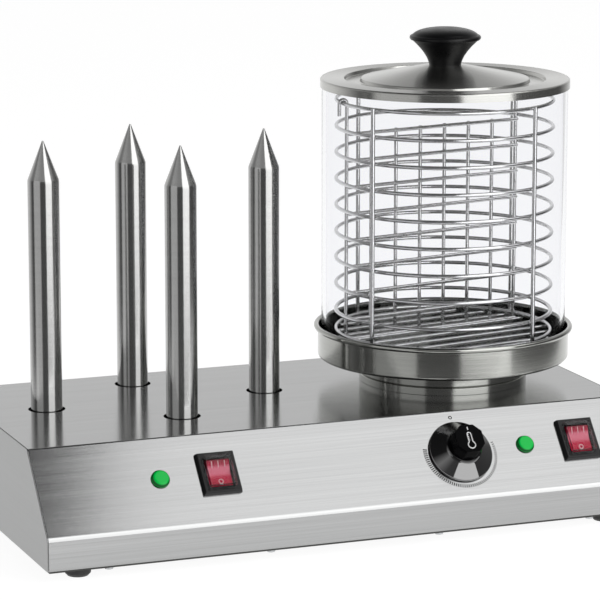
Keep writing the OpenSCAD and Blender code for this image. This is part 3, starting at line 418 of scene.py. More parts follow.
def speckled(name, colour, roughness, scale, spread, **sockets):
    """A moulded or coated finish whose shade and gloss wander a little."""
    made, tree, shader = finish(name, colour, roughness, **sockets)
    place = add(tree, "ShaderNodeTexCoord").outputs["Object"]
    value = noise_between(tree, place, scale, 1 - spread, 1 + spread)
    shade = add(tree, "ShaderNodeHueSaturation", {"Value": value, "Color": (*colour, 1)})
    gloss = add(tree, "ShaderNodeMath", {0: value, 1: roughness}, operation="MULTIPLY")
    relief = add(tree, "ShaderNodeBump", {"Height": value, "Strength": 0.15, "Distance": 0.0001})
    tree.links.new(shade.outputs["Color"], shader.inputs["Base Color"])
    tree.links.new(gloss.outputs[0], shader.inputs["Roughness"])
    tree.links.new(relief.outputs["Normal"], shader.inputs["Normal"])
    return made


foot_rubber = speckled("foot rubber", (0.02, 0.02, 0.02), 0.55, 900, 0.25)
foot_hole_r = 0.0022
foot_recess_r = 0.0046
foot_flat = 0.8
foot_round = 0.002
foot_round_z = 0.003
foot_soft = 0.0004
for node in ("foot_front_left", "foot_front_right", "foot_rear_left", "foot_rear_right"):
    low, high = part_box(node)
    r = (high.x - low.x) / 2
    h = high.z - low.z
    bm = lathe([(foot_hole_r, h / 2), (foot_recess_r, h / 2), (foot_recess_r, low.z), (foot_flat * r, low.z),
                *arc((r - foot_round, foot_round_z), foot_round, -70, 0, 5), (r, high.z),
                (foot_hole_r, high.z)], middle(node).xy, 48, closed=True)
    soften(bm, foot_soft, 2, 50)
    show(bm, node.replace("foot", "button"), foot_rubber, "housing", "foot_rubber", node)

# Spikes: solid bars of stainless steel, turned, ground and polished, with a cone at the tip and
# a threaded stub below. They stand free in their holes and are heated from inside.
spike_cone = 0.031
spike_tip_r = 0.0006
spike_stub_r = 0.008
spike_seat_z = 0.04
shoulder_soft = 0.0012
turned, given, gives = start_group("turned grain", {**grain_takes, "Centre": "Vector"}, grain_gives)
place = add(turned, "ShaderNodeTexCoord").outputs["Object"]
arm = add(turned, "ShaderNodeVectorMath", {0: place, 1: given["Centre"]}, operation="SUBTRACT").outputs[0]
apart = add(turned, "ShaderNodeSeparateXYZ", {"Vector": arm}).outputs
flat = add(turned, "ShaderNodeCombineXYZ", {"X": apart["X"], "Y": apart["Y"]}).outputs[0]
radius = add(turned, "ShaderNodeVectorMath", {0: flat}, operation="LENGTH").outputs["Value"]
ring = add(turned, "ShaderNodeCombineXYZ", {"X": radius, "Z": apart["Z"]}).outputs[0]
lines = add(turned, "ShaderNodeVectorMath", {0: ring, 1: given["Stretch"]}, operation="MULTIPLY").outputs[0]
fine = noise_between(turned, lines, 1.0, 0.0, 0.6, 6.0)
broad = noise_between(turned, lines, 0.1, 0.0, 0.4, 3.0)
streak = add(turned, "ShaderNodeMath", {0: fine, 1: broad}, operation="ADD").outputs[0]
grain_outputs(turned, given, gives, streak)


def turned_metal(name, colour, roughness, spread, stretch, contrast, centre=(0, 0, 0)):
    """Metal with the marks of a lathe round an upright axis."""
    quarter = 0.25
    bare = finish(name, colour, roughness, 1.0, anisotropic=spread)
    return grained(turned, *across_marks(*bare, "Z", quarter), stretch, contrast, 0.1, Centre=centre)


spike_steel = turned_metal("spike steel", (0.46, 0.46, 0.455), 0.18, 0.6, (1, 1, 1500), 0.07)
for node in spikes:
    low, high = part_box(node)
    bm = lathe([(0, low.z), (spike_stub_r, low.z), (spike_stub_r, spike_seat_z), (spike_r, spike_seat_z),
                (spike_r, high.z - spike_cone), (spike_tip_r, high.z), (0, high.z)], middle(node).xy, 64)
    soften(bm, shoulder_soft, 4, 15, 60)
    show(bm, node.replace("spike", "rod"), spike_steel, "housing", "spike_steel", node)

# Water bowl and neck: the bowl is spun from stainless steel with a rolled rim, and a collar and
# a ring below it, turned to the same width, meet at a groove. A stud pulls all three down.
bead_r = 0.00225
bowl_t = 0.0012
bowl_corner = 0.0013
neck_groove = 0.0008
neck_t = 0.002
neck_soft = 0.0003
spigot_gap = 0.0002
spigot_h = 0.004
fine_steps = 160
steam_axis = (*steam_at.xy, 0)
spun_steel = turned_metal("spun steel", (0.39, 0.395, 0.375), 0.16, 0.5, (900, 1, 900), 0.08, steam_axis)
low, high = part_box("water_bowl")
rim_r = (high.x - low.x) / 2
bead_z = high.z - bead_r
inner_r = rim_r - 2 * bead_r
outer_r = inner_r + bowl_t
under_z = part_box("bowl_collar")[1].z
floor_z = under_z + bowl_t
bend_r = bowl_corner + bowl_t
bm = lathe([(0, floor_z), *arc((inner_r - bowl_corner, floor_z + bowl_corner), bowl_corner, -90, 0, 6),
            *arc((inner_r + bead_r, bead_z), bead_r, 180, -118, 20),
            *arc((outer_r - bend_r, under_z + bend_r), bend_r, 0, -90, 8), (0, under_z)],
           steam_at.xy, fine_steps)
show(bm, "bowl_spinning", spun_steel, "housing", "spun_steel", "water_bowl")
low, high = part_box("neck_ring")
neck_r = (high.x - low.x) / 2
split_z = high.z
plate_z = low.z
bm = lathe([(neck_hole_r, plate_z), (neck_r, plate_z), (neck_r, split_z - neck_groove),
            (neck_r - neck_groove, split_z), (neck_r - neck_t, split_z), (neck_r - neck_t, plate_z + neck_t),
            (neck_hole_r, plate_z + neck_t)], steam_at.xy, fine_steps, closed=True)
soften(bm, neck_soft, 2, 40)
show(bm, "neck_lower", spun_steel, "housing", "spun_steel", "neck_ring")
collar_in_r = neck_r - 2 * neck_t
spigot_r = neck_r - neck_t - spigot_gap
bm = lathe([(collar_in_r, split_z - spigot_h), (spigot_r, split_z - spigot_h), (spigot_r, split_z),
            (neck_r - neck_groove, split_z), (neck_r, split_z + neck_groove), (neck_r, under_z),
            (collar_in_r, under_z)], steam_at.xy, fine_steps, closed=True)
soften(bm, neck_soft, 2, 40)
show(bm, "neck_upper", spun_steel, "housing", "spun_steel", "bowl_collar")

# Glass cylinder: a clear tube of borosilicate glass with fire-polished edges. It stands loose in
# the bowl, and its tint is deeper where it is seen edge on.
glass_t = 0.0035
glass_soft = 0.0011
face_tint = (0.947, 0.95, 0.962)
edge_tint = (0.8, 0.82, 0.85)
clear_glass, tree, shader = finish("clear glass", face_tint, 0.0, transmission_weight=1.0, ior=1.03)
edge_on = add(tree, "ShaderNodeLayerWeight", {"Blend": 0.5}).outputs["Facing"]
glass_tint = ramp(tree, edge_on, [(0.8, face_tint), (1.0, edge_tint)])
tree.links.new(glass_tint, shader.inputs["Base Color"])
low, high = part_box("glass_cylinder")
glass_r = (high.x - low.x) / 2
bm = lathe([(glass_r - glass_t, low.z), (glass_r, low.z), (glass_r, high.z), (glass_r - glass_t, high.z)],
           steam_at.xy, fine_steps, closed=True)
soften(bm, glass_soft, 4, 60)
show(bm, "glass_tube", clear_glass, "glass", "clear_glass", "glass_cylinder")

# Basket: rings, four posts and floor wires of chromed steel, spot-welded where they cross, and
# a divider of rails and pickets whose end wires hook over the top ring.
ring_count = 10
post_count = 4
ring_wire_r = 0.0016
post_wire_r = 0.00175
grid_wire_r = 0.0015
post_turn = radians(28)
divider_turn = radians(10.5)
divider_off = 0.0175
ring_first_gap = 0.0162
floor_wires = 8
pickets = 8
hook_drop = 0.01
wire_soft = 0.0005
weld_shape = (0.5, 1.1, 0.9, 1)
chrome_wire, tree, shader = finish("chrome wire", (0.7, 0.7, 0.7), 0.14, 1.0)
place = add(tree, "ShaderNodeTexCoord").outputs["Object"]
gloss = noise_between(tree, place, 400, 0.1, 0.2)
tree.links.new(gloss, shader.inputs["Roughness"])
low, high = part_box("basket_rings")
ring_r = (high.x - low.x) / 2 - ring_wire_r
ring_low_z = low.z + ring_wire_r
ring_top_z = high.z - ring_wire_r
ring_pitch = (ring_top_z - ring_low_z - ring_first_gap) / (ring_count - 2)
ring_heights = [ring_low_z] + [ring_low_z + ring_first_gap + i * ring_pitch for i in range(ring_count - 1)]
axis_at = Matrix.Translation((*steam_at.xy, 0))


def edges_at(verts):
    """The edges that meet some vertices, each of them once."""
    return list(dict.fromkeys(e for v in verts for e in v.link_edges))


def add_ring(bm, place, radius, wire_r, start=0.0, turn=2 * pi, steps=24, sides=8):
    """A bent wire in the plane of a place's X and Y axes, all the way round or part of it."""
    spoke = place @ Matrix.Rotation(start, 4, "Z") @ Matrix.Translation((radius, 0, 0))
    wire = bmesh.ops.create_circle(bm, segments=sides, radius=wire_r,
                                   matrix=spoke @ Matrix.Rotation(pi / 2, 4, "X"))["verts"]
    bmesh.ops.spin(bm, geom=wire + edges_at(wire), cent=place.translation,
                   axis=place.to_3x3() @ Vector((0, 0, 1)), angle=turn, steps=steps,
                   use_merge=turn == 2 * pi)


bm = bmesh.new()
for z in ring_heights:
    add_ring(bm, axis_at @ Matrix.Translation((0, 0, z)), ring_r, ring_wire_r, steps=120, sides=12)
bmesh.ops.remove_doubles(bm, verts=bm.verts, dist=1e-6)
bmesh.ops.recalc_face_normals(bm, faces=bm.faces)
show(bm, "basket_hoops", chrome_wire, "basket", "basket_wire", "basket_rings")
low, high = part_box("basket_posts")
post_r = ring_r + ring_wire_r + post_wire_r
bm = bmesh.new()
post_turns = [axis_at @ Matrix.Rotation(post_turn + k * 2 * pi / post_count, 4, "Z")
              for k in range(post_count)]
for turn in post_turns:
    add_rod(bm, turn @ Vector((post_r, 0, low.z)), turn @ Vector((post_r, 0, high.z)), post_wire_r)
soften(bm, wire_soft, 3, 60)
for turn in post_turns:
    for z in ring_heights:
        weld = turn @ Matrix.Translation(((ring_r + post_r) / 2, 0, z)) @ Matrix.Diagonal(weld_shape)
        bmesh.ops.create_icosphere(bm, subdivisions=2, radius=ring_wire_r, matrix=weld)
show(bm, "basket_uprights", chrome_wire, "basket", "basket_wire", "basket_posts")
floor_wire_z = middle("basket_floor").z
floor_pitch = 2 * (ring_r - 2 * grid_wire_r) / (floor_wires + 1)
grid_turn = axis_at @ Matrix.Rotation(divider_turn, 4, "Z")
bm = bmesh.new()
for i in range(floor_wires):
    off = (i - (floor_wires - 1) / 2) * floor_pitch
    reach = sqrt(ring_r ** 2 - off ** 2)
    add_rod(bm, grid_turn @ Vector((-reach, off, floor_wire_z)),
            grid_turn @ Vector((reach, off, floor_wire_z)), grid_wire_r)
soften(bm, wire_soft, 2, 60)
show(bm, "basket_bottom", chrome_wire, "basket", "basket_wire", "basket_floor")
rail_step = 2 * grid_wire_r
rail_y = divider_off - rail_step
hook_r = ring_wire_r + grid_wire_r
hook_turn = asin(divider_off / (ring_r - hook_r))
picket_reach = (ring_r - hook_r) * cos(hook_turn)
picket_low_z = ring_low_z - rail_step - grid_wire_r
picket_top_z = ring_heights[-2] - rail_step + grid_wire_r
bm = bmesh.new()
for z in ring_heights[:-1]:
    add_rod(bm, grid_turn @ Vector((-picket_reach, rail_y, z - rail_step)),
            grid_turn @ Vector((picket_reach, rail_y, z - rail_step)), grid_wire_r)
for i in range(1, pickets - 1):
    x = picket_reach * (2 * i / (pickets - 1) - 1)
    add_rod(bm, grid_turn @ Vector((x, divider_off, picket_low_z)),
            grid_turn @ Vector((x, divider_off, picket_top_z)), grid_wire_r)
soften(bm, wire_soft, 2, 60)
for hook in (hook_turn, pi - hook_turn):
    turn = grid_turn @ Matrix.Rotation(hook, 4, "Z")
    foot = turn @ Matrix.Translation((ring_r - hook_r, 0, picket_low_z))
    wire = bmesh.ops.create_circle(bm, cap_ends=True, segments=12, radius=grid_wire_r, matrix=foot)["verts"]
    start = wire[0].link_faces[0]
    made = bmesh.ops.extrude_face_region(bm, geom=[start])
    bmesh.ops.translate(bm, verts=moved_verts(made), vec=(0, 0, ring_top_z - picket_low_z))
    end = [f for f in made["geom"] if isinstance(f, bmesh.types.BMFace)]
    made = bmesh.ops.spin(bm, geom=end, cent=turn @ Vector((ring_r, 0, ring_top_z)),
                          axis=turn.to_3x3() @ Vector((0, 1, 0)), angle=pi, steps=16)
    end = [f for f in made["geom_last"] if isinstance(f, bmesh.types.BMFace)]
    made = bmesh.ops.extrude_face_region(bm, geom=end)
    bmesh.ops.translate(bm, verts=moved_verts(made), vec=(0, 0, -hook_drop))
    bmesh.ops.delete(bm, geom=end, context="FACES_ONLY")
bmesh.ops.remove_doubles(bm, verts=bm.verts, dist=1e-6)
bmesh.ops.recalc_face_normals(bm, faces=bm.faces)
show(bm, "basket_partition", chrome_wire, "basket", "basket_wire", "basket_divider")

# Lid: a pan spun from the same steel, with a band round its rim, a groove and a low cone that
# carries the knob. The knob is a black mushroom moulding held by a screw from below.
lid_t = 0.001
groove_r = 0.082
groove_w = 0.014
groove_h = 0.003
groove_lean = 0.001
rim_bend = 0.0015
cone_rise = 0.011
lid_soft = 0.0005
knob_foot_r = 0.013
seat_margin = 0.001
screw_r = 0.0027
low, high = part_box("lid_pan")
lid_r = (high.x - low.x) / 2
lid_face_z = high.z - cone_rise
lid_cone_r = groove_r - groove_w
seat_r = knob_foot_r + seat_margin
face = [(lid_r, low.z), *arc((lid_r - rim_bend, lid_face_z - rim_bend), rim_bend, 0, 90, 5),
        (groove_r, lid_face_z), (groove_r - groove_lean, lid_face_z - groove_h),
        (lid_cone_r + groove_lean, lid_face_z - groove_h), (lid_cone_r, lid_face_z), (seat_r, high.z),
        (screw_r, high.z)]
back = [(screw_r, high.z - lid_t), (seat_r, high.z - lid_t),
        (lid_cone_r - groove_lean, lid_face_z - lid_t),
        (lid_cone_r, lid_face_z - groove_h - lid_t), (groove_r, lid_face_z - groove_h - lid_t),
        (groove_r + groove_lean, lid_face_z - lid_t), (lid_r - lid_t, lid_face_z - lid_t),
        (lid_r - lid_t, low.z)]
bm = lathe(face + back, steam_at.xy, fine_steps, closed=True)
soften(bm, lid_soft, 3, 9, 75)
lid_steel = turned_metal("lid steel", (0.52, 0.52, 0.5), 0.24, 0.85, (900, 1, 900), 0.08, steam_axis)
show(bm, "lid_spinning", lid_steel, "lid", "spun_steel", "lid_pan")
black_satin = speckled("black moulding", (0.004, 0.004, 0.0045), 0.32, 60, 0.2, specular_ior_level=0.3)
brim_r = 0.002
brim_share = 0.66
flare_share = 0.3
flare_swell = 1.13
crown_share = 0.75
low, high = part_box("lid_knob")
knob_r = (high.x - low.x) / 2
knob_h = high.z - low.z
brim_z = low.z + brim_share * knob_h


def curve(start, pull, end, steps=10):
    """Points of a smooth stretch of an outline that leans towards one point."""
    marks = [i / steps for i in range(steps + 1)]
    return [tuple((1 - t) ** 2 * a + 2 * t * (1 - t) * b + t * t * c for a, b, c in zip(start, pull, end))
            for t in marks]


brim_in_r = knob_r - brim_r
flare_pull = (flare_swell * knob_foot_r, low.z + flare_share * knob_h)
bm = lathe([(0, low.z), *curve((knob_foot_r, low.z), flare_pull, (brim_in_r, brim_z)),
            *arc((brim_in_r, brim_z + brim_r), brim_r, -60, 60, 6),
            *curve((brim_in_r, brim_z + 2 * brim_r), (crown_share * knob_r, high.z), (0, high.z), 12)],
           steam_at.xy, 96)
show(bm, "lid_mushroom", black_satin, "lid", "black_gloss", "lid_knob")

# Thermostat knob: a glossy black moulding, a low cone with a raised grip, pushed on to the shaft.
# A thermometer sign and a pointer are printed white on the grip.
skirt_r = 0.026
skirt_lift = 0.0008
skirt_rim = 0.0018
skirt_wall = 0.0025
cone_r = 0.01475
cone_top = 0.0095
grip_r = 0.01325
grip_low = 0.011
grip_top = 0.0245
grip_sunk = 0.001
grip_half = Vector((0.0115, 0.01175))
grip_cut = 0.006
dial_soft = 0.0006
dial_place = on_panel(dial_at)
bm = lathe([(0, grip_low), (grip_r, grip_low), (cone_r, cone_top), (skirt_r, skirt_lift + skirt_rim),
            (skirt_r, skirt_lift), (skirt_r - skirt_wall, skirt_lift),
            (cone_r - skirt_wall, grip_low - skirt_wall), (0, grip_low - skirt_wall)], steps=96)
soften(bm, dial_soft, 3, 12)


def join(bm, other):
    """Add the faces of a second mesh to the first."""
    mesh = bpy.data.meshes.new("joined")
    other.to_mesh(mesh)
    other.free()
    bm.from_mesh(mesh)


grip = bmesh.new()
gx, gy = grip_half
face = grip.faces.new([grip.verts.new((x, y, grip_low - grip_sunk)) for x, y in (
    (grip_cut - gx, -gy), (gx - grip_cut, -gy), (gx, grip_cut - gy), (gx, gy - grip_cut),
    (gx - grip_cut, gy), (grip_cut - gx, gy), (-gx, gy - grip_cut), (-gx, grip_cut - gy))])
made = bmesh.ops.extrude_face_region(grip, geom=[face])
bmesh.ops.translate(grip, verts=moved_verts(made), vec=(0, 0, grip_top - grip_low + grip_sunk))
bmesh.ops.recalc_face_normals(grip, faces=grip.faces)
soften(grip, dial_soft, 3, 30)
join(bm, grip)
bmesh.ops.transform(bm, matrix=dial_place, verts=bm.verts)
dial_black = speckled("dial moulding", (0.003, 0.003, 0.0035), 0.07, 60, 0.2, coat_ior=2.2)
tree = dial_black.node_tree
shader = tree.nodes["Principled BSDF"]
place = add(tree, "ShaderNodeTexCoord").outputs["Object"]
lift = add(tree, "ShaderNodeVectorMath", {0: place, 1: panel_out}, operation="DOT_PRODUCT").outputs["Value"]
face_lift = dial_at.dot(panel_out)
for socket, on_cone, on_grip in (("Specular IOR Level", 1.0, 0.02), ("Coat Weight", 1.0, 0.0)):
    level = add(tree, "ShaderNodeMapRange",
                {"Value": lift, "From Min": face_lift + cone_top, "From Max": face_lift + grip_low,
                 "To Min": on_cone, "To Max": on_grip})
    tree.links.new(level.outputs["Result"], shader.inputs[socket])
show(bm, "dial_moulding", dial_black, "dial", "black_gloss", "thermostat_knob", sharp=25)
white_print, _, _ = finish("white print", (0.85, 0.85, 0.85), 0.5)
print_r = 0.00045
bulb_r = 0.003
bulb_y = -0.0058
stem_x = 0.0016
stem_top = 0.0034
mark_heights = (-0.0016, 0.0, 0.0016, 0.0032)
mark_end_x = -0.00048
mark_r = 0.000315
pointer = (0.0072, 0.0096)
pointer_r = 0.00054
bm = bmesh.new()
icon = dial_place @ Matrix.Translation((0, 0, grip_top))
gap = asin(stem_x / bulb_r)
add_ring(bm, icon @ Matrix.Translation((0, bulb_y, 0)), bulb_r, print_r, pi / 2 + gap, 2 * pi - 2 * gap)
add_ring(bm, icon @ Matrix.Translation((0, stem_top, 0)), stem_x, print_r, 0, pi, 12)
for x in (-stem_x, stem_x):
    stem_foot = icon @ Vector((x, bulb_y + bulb_r * cos(gap), 0))
    add_rod(bm, stem_foot, icon @ Vector((x, stem_top, 0)), print_r, 8)
for y in mark_heights:
    add_rod(bm, icon @ Vector((-stem_x, y, 0)), icon @ Vector((mark_end_x, y, 0)), mark_r, 8)
add_rod(bm, icon @ Vector((0, pointer[0], 0)), icon @ Vector((0, pointer[1], 0)), pointer_r, 8)
bmesh.ops.recalc_face_normals(bm, faces=bm.faces)
show(bm, "dial_print", white_print, "dial", "black_gloss")

# Scale: fine black lines printed on the panel round the lower half of the knob. They grow from
# thin and short at the right to bold and long at the left, and a zero stands above the knob.
tick_count = 60
tick_out_r = 0.0308
tick_from = radians(12)
tick_to = radians(-190)
tick_long = (0.002, 0.0034)
tick_wide = (0.0006, 0.0009)
zero_up = 0.031
zero_r = 0.0017
zero_line = 0.0005
zero_shape = (0.72, 1, 0.25, 1)
print_t = 0.00006
black_print, _, _ = finish("black print", (0.006, 0.006, 0.006), 0.5, specular_ior_level=0.2)
bm = bmesh.new()
for i in range(tick_count):
    share = i / (tick_count - 1)
    length = tick_long[0] + (tick_long[1] - tick_long[0]) * share
    width = tick_wide[0] + (tick_wide[1] - tick_wide[0]) * share
    turn = dial_place @ Matrix.Rotation(tick_from + (tick_to - tick_from) * share, 4, "Z")
    add_box(bm, turn @ Matrix.Translation((tick_out_r - length / 2, 0, print_t / 2)),
            (length, width, print_t))
zero = dial_place @ Matrix.Translation((0, zero_up, 0)) @ Matrix.Diagonal(zero_shape)
add_ring(bm, zero, zero_r, zero_line)
bmesh.ops.recalc_face_normals(bm, faces=bm.faces)
show(bm, "dial_scale", black_print, "housing", "black_gloss")

# Lamps: round lenses of green translucent plastic with a soft dome, pressed on to lamp bodies
# that pass through the panel.
lens_h = 0.0036
lens_rim = 0.001
lens_soft = 0.0003
dome_flat = 0.62
dome_pull = 0.9
lamp_green, tree, shader = finish("green lens", (0.0, 0.42, 0.06), 0.1, specular_ior_level=0.25,
                                  emission_strength=0.3)
place = add(tree, "ShaderNodeTexCoord").outputs["Object"]
cells = add(tree, "ShaderNodeTexVoronoi", {"Vector": place, "Scale": 900})
relief = add(tree, "ShaderNodeBump",
             {"Height": cells.outputs["Distance"], "Strength": 0.12, "Distance": 0.0002})
tree.links.new(relief.outputs["Normal"], shader.inputs["Normal"])
# The lens's colour and its faint glow are darkened where the dome turns away from the panel's face: painted
# shade towards its rim.
lean = add(tree, "ShaderNodeNewGeometry").outputs["True Normal"]
facing = add(tree, "ShaderNodeVectorMath", {0: lean, 1: panel_out}, operation="DOT_PRODUCT")
green_with_painted_rim_shade = ramp(tree, facing.outputs["Value"], [(0.6, (0.0, 0.07, 0.012)), (0.98, (0.0, 0.43, 0.055))])
tree.links.new(green_with_painted_rim_shade, shader.inputs["Base Color"])
tree.links.new(green_with_painted_rim_shade, shader.inputs["Emission Color"])
lens_r = (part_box("lamp_left_lens")[1].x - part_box("lamp_left_lens")[0].x) / 2
for side, place in lamps.items():
    dome = curve((lens_r - lens_soft, lens_rim + lens_soft), (dome_pull * lens_r, lens_h),
                 (dome_flat * lens_r, lens_h), 8)
    bm = lathe([(0, 0), (lens_r - lens_soft, 0), (lens_r, lens_soft), (lens_r, lens_rim), *dome, (0, lens_h)],
               steps=64)
    bmesh.ops.transform(bm, matrix=place, verts=bm.verts)
    show(bm, f"lens_{side}", lamp_green, "housing", "lamp_green", f"lamp_{side}_lens")

# Switches: black moulded housings with a drafted bezel, snapped into the panel. Each holds a red
# translucent rocker with pale signs, under a clear splash cap with thin walls.
bezel = (0.032, 0.035, 0.004)
bezel_top = (0.925, 0.966, 1)
pocket = (0.0188, 0.0236)
pocket_low = -0.0085
bezel_soft = 0.0006
switch_depth = 0.022
box_top = 0.0004
cap_in = (0.0202, 0.025)
cap_t = 0.0008
cap_h = 0.0046
cap_soft = 0.0009
cap_cut_past = 0.001
rocker_w = 0.0182
rocker_r = 0.0115
rocker_tilt = radians(11)
rocker_valley = 0.00357
rocker_low_deg = -20.3
rocker_high_deg = 28.8
rocker_soft = 0.0005
stroke_apart = 0.0052
stroke = (0.0046, 0.0096)
ring_down = 0.007
ring_sign_r = 0.0017
sign_r = 0.0004
switch_black = speckled("switch moulding", (0.003, 0.003, 0.0035), 0.2, 500, 0.1, specular_ior_level=0.3)
rocker_red, tree, shader = finish("rocker red", (0.5, 0.02, 0.045), 0.18, specular_ior_level=0.15,
                                  emission_strength=0.1)
place = add(tree, "ShaderNodeTexCoord").outputs["Object"]
tree.links.new(noise_between(tree, place, 300, 0.14, 0.24), shader.inputs["Roughness"])
# The rocker's colour is painted by height on the panel: red below, a pink band across the middle that is a
# painted reflection, and painted shade near the top. It also glows faintly in these colours.
rocker_up = add(tree, "ShaderNodeVectorMath", {0: place, 1: panel_up}, operation="DOT_PRODUCT")
rocker_at = Vector(rocker_joints["left"]["pos_m"]).dot(panel_up)
share = add(tree, "ShaderNodeMapRange", {"Value": rocker_up.outputs["Value"],
                                         "From Min": rocker_at - rocker_r, "From Max": rocker_at + rocker_r})
painted_sheen_and_shade = ramp(tree, share.outputs["Result"], [
    (0.0, (0.4, 0.004, 0.03)), (0.32, (0.52, 0.01, 0.05)), (0.44, (0.66, 0.15, 0.22)),
    (0.64, (0.66, 0.16, 0.23)), (0.74, (0.4, 0.005, 0.035)), (1.0, (0.08, 0.002, 0.007))])
tree.links.new(painted_sheen_and_shade, shader.inputs["Base Color"])
tree.links.new(painted_sheen_and_shade, shader.inputs["Emission Color"])
pale_print, _, _ = finish("rocker print", (0.76, 0.5, 0.54), 0.5)
clear_cap, tree, shader = finish("clear cap", (0.97, 0.97, 0.97), 0.05, transmission_weight=1.0, ior=1.2)
place = add(tree, "ShaderNodeTexCoord").outputs["Object"]
tree.links.new(noise_between(tree, place, 200, 0.02, 0.1), shader.inputs["Roughness"])
for side, place in switches.items():
    bm = bmesh.new()
    top = [v for v in add_box(bm, Matrix.Translation((0, 0, bezel[2] / 2)), bezel) if v.co.z > bezel[2] / 2]
    bmesh.ops.scale(bm, verts=top, vec=bezel_top)
    tool = bmesh.new()
    add_box(tool, Matrix.Translation((0, 0, bezel[2] / 2)), (*pocket, 2 * bezel[2]))
    bm = cut(bm, tool)
    soften(bm, bezel_soft, 3, 30)
    box = bmesh.new()
    add_box(box, Matrix.Translation((0, 0, (box_top - switch_depth) / 2)),
            (*switch_body, switch_depth + box_top))
    tool = bmesh.new()
    add_box(tool, Matrix.Translation((0, 0, (bite + pocket_low) / 2)), (*pocket, bite - pocket_low))
    join(bm, cut(box, tool))
    bmesh.ops.transform(bm, matrix=place, verts=bm.verts)
    show(bm, f"switch_{side}_bezel", switch_black, "housing", "switch_black", f"switch_{side}_housing")

    pivot = Matrix.Translation(rocker_joints[side]["pos_m"]) @ panel_turn
    pivot = pivot @ Matrix.Rotation(rocker_tilt, 4, "X")
    bm = bmesh.new()
    outline = [*arc((0, 0), rocker_r, rocker_low_deg, rocker_high_deg, 6), (0, rocker_valley),
               *arc((0, 0), rocker_r, 180 - rocker_high_deg, 180 - rocker_low_deg, 6)]
    face = bm.faces.new([bm.verts.new((-rocker_w / 2, y, z)) for y, z in outline])
    made = bmesh.ops.extrude_face_region(bm, geom=[face])
    bmesh.ops.translate(bm, verts=moved_verts(made), vec=(rocker_w, 0, 0))
    bmesh.ops.recalc_face_normals(bm, faces=bm.faces)
    soften(bm, rocker_soft, 3, 18)
    bmesh.ops.transform(bm, matrix=pivot, verts=bm.verts)
    show(bm, f"rocker_{side}_key", rocker_red, f"rocker_{side}", "rocker_red", f"switch_{side}_rocker")
    bm = bmesh.new()
    upper = pivot @ Matrix.Translation((0, 0, rocker_valley)) @ Matrix.Rotation(rocker_tilt, 4, "X")
    lower = pivot @ Matrix.Translation((0, 0, rocker_valley)) @ Matrix.Rotation(-rocker_tilt, 4, "X")
    for x in (-stroke_apart, 0, stroke_apart):
        add_rod(bm, upper @ Vector((x, stroke[0], 0)), upper @ Vector((x, stroke[1], 0)), sign_r, 8)
    add_ring(bm, lower @ Matrix.Translation((0, -ring_down, 0)), ring_sign_r, sign_r)
    bmesh.ops.recalc_face_normals(bm, faces=bm.faces)
    show(bm, f"rocker_{side}_signs", pale_print, f"rocker_{side}", "rocker_red")

    bm = bmesh.new()
    add_box(bm, Matrix.Translation((0, 0, bezel[2] + cap_h / 2)),
            (cap_in[0] + 2 * cap_t, cap_in[1] + 2 * cap_t, cap_h))
    soften(bm, cap_soft, 3, 60)
    tool = bmesh.new()
    add_box(tool, Matrix.Translation((0, 0, bezel[2] + (cap_h - cap_t) / 2 - cap_cut_past)),
            (*cap_in, cap_h - cap_t + 2 * cap_cut_past))
    bm = cut(bm, tool)
    bmesh.ops.transform(bm, matrix=place, verts=bm.verts)
    show(bm, f"switch_{side}_shield", clear_cap, "housing", "cap_clear", f"switch_{side}_cap")

# Cable gland: a black polyamide fitting with a hexagon and a ribbed dome nut, screwed through
# the back with a lock nut inside.
gland_bore_r = 0.004
gland_flange_h = 0.005
gland_soft = 0.0005
dome_r = 0.0098
dome_drop = 0.002
dome_mouth_r = 0.0072
dome_lean = 0.0006
rib_count = 12
rib_size = (0.001, 0.0018, 0.0064)
hexagon_r = 0.012
gland_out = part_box("cable_gland")[1].y - shell_high.y
gland_at = Vector((middle("cable_gland").x, shell_high.y, middle("cable_gland").z))
gland_place = Matrix.Translation(gland_at) @ Matrix.Rotation(-pi / 2, 4, "X")
gland_inner = shell_high.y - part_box("cable_gland")[0].y
gland_plastic = speckled("gland moulding", (0.02, 0.02, 0.021), 0.45, 700, 0.25)
bm = lathe([(gland_bore_r, -gland_inner), (gland_thread_r, -gland_inner), (gland_thread_r, 0), (dome_r, 0),
            (dome_r, gland_out - 2 * dome_drop), (dome_r - dome_lean, gland_out - dome_drop),
            (dome_mouth_r, gland_out), (gland_bore_r, gland_out)], steps=48, closed=True)
soften(bm, gland_soft, 2, 25)
for k in range(rib_count):
    rib = Matrix.Rotation(2 * pi * k / rib_count, 4, "Z")
    add_box(bm, rib @ Matrix.Translation((dome_r, 0, gland_flange_h + rib_size[2] / 2)), rib_size)
nut = add_rod(bm, Vector((0, 0, 0)), Vector((0, 0, gland_flange_h)), hexagon_r, 6)
bmesh.ops.bevel(bm, geom=edges_at(nut), offset=gland_soft, segments=2, profile=0.5, affect="EDGES",
                material=-1)
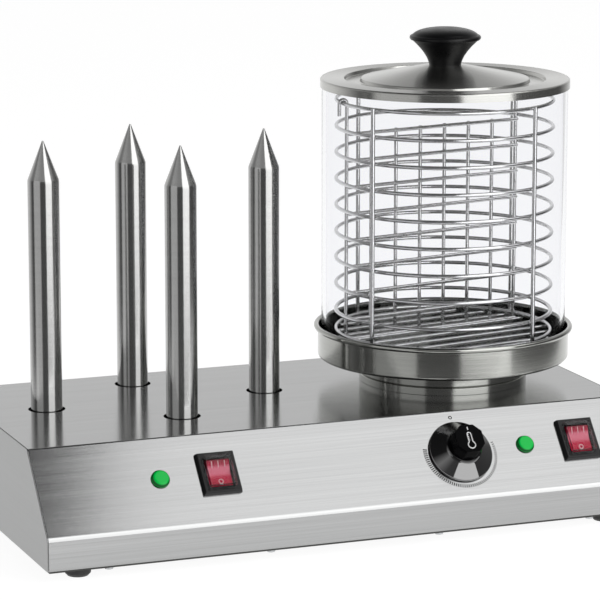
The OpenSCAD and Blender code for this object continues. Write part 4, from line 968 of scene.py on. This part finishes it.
bmesh.ops.transform(bm, matrix=gland_place, verts=bm.verts)
show(bm, "gland_moulding", gland_plastic, "housing", "gland_plastic", "cable_gland")


# Base plate, brackets and fasteners: pressed and turned steel that keeps the frame's shapes. The
# plate is painted near-black as painted shadow, for the dark line under the body, and the brackets,
# nuts and screws have a bright zinc coat.
def coat(material, *nodes):
    """Give nodes that keep the frame's own mesh a finish."""
    for node in nodes:
        frame["nodes"][node].data.materials.clear()
        frame["nodes"][node].data.materials.append(material)


shadow_black = speckled("painted shadow black", (0.03, 0.03, 0.028), 0.5, 300, 0.2)
zinc = grained(brushed, *finish("zinc coat", (0.5, 0.51, 0.52), 0.4, 1.0), (60, 60, 60), 0.12, 0.1)
coat(shadow_black, "base_plate")
coat(zinc, "base_plate_screws", "foot_screws", "foot_nuts", "spike_carrier", "carrier_screws", "spike_nuts",
     "element_clamp", "element_nut", "tie_bar", "tie_nut", "lid_knob_washer", "lid_knob_screw",
     "thermostat_shaft", "thermostat_screws", "terminal_block_screws")

# Heaters: cartridges in the spikes and a bent tube below the bowl, sheathed in steel that the
# heat has browned.
heat_steel = grained(brushed, *finish("browned steel", (0.2, 0.17, 0.14), 0.45, 1.0), (300, 300, 300),
                     0.3, 0.2)
coat(heat_steel, "spike_cartridges", "heater_ring")

# Control bodies: ivory mouldings of the thermostat, lamps, cut-out and terminal block, with brass
# blades, a copper capillary and silicone leads between them. The gland's lock nut is black.
control_ivory = speckled("control moulding", (0.66, 0.62, 0.52), 0.5, 250, 0.12)
copper = speckled("copper tube", (0.6, 0.27, 0.13), 0.3, 500, 0.2, metallic=1.0)
brass = speckled("brass blade", (0.62, 0.43, 0.16), 0.3, 500, 0.15, metallic=1.0)
lead_red = speckled("silicone lead", (0.42, 0.035, 0.03), 0.5, 400, 0.15)
coat(control_ivory, "thermostat_body", "lamp_left_body", "lamp_right_body", "lamp_nuts", "overheat_cutout",
     "terminal_block")
coat(copper, "sensor_capillary")
coat(brass, "switch_terminals")
coat(lead_red, "wiring_loom")
coat(gland_plastic, "cable_gland_nut")
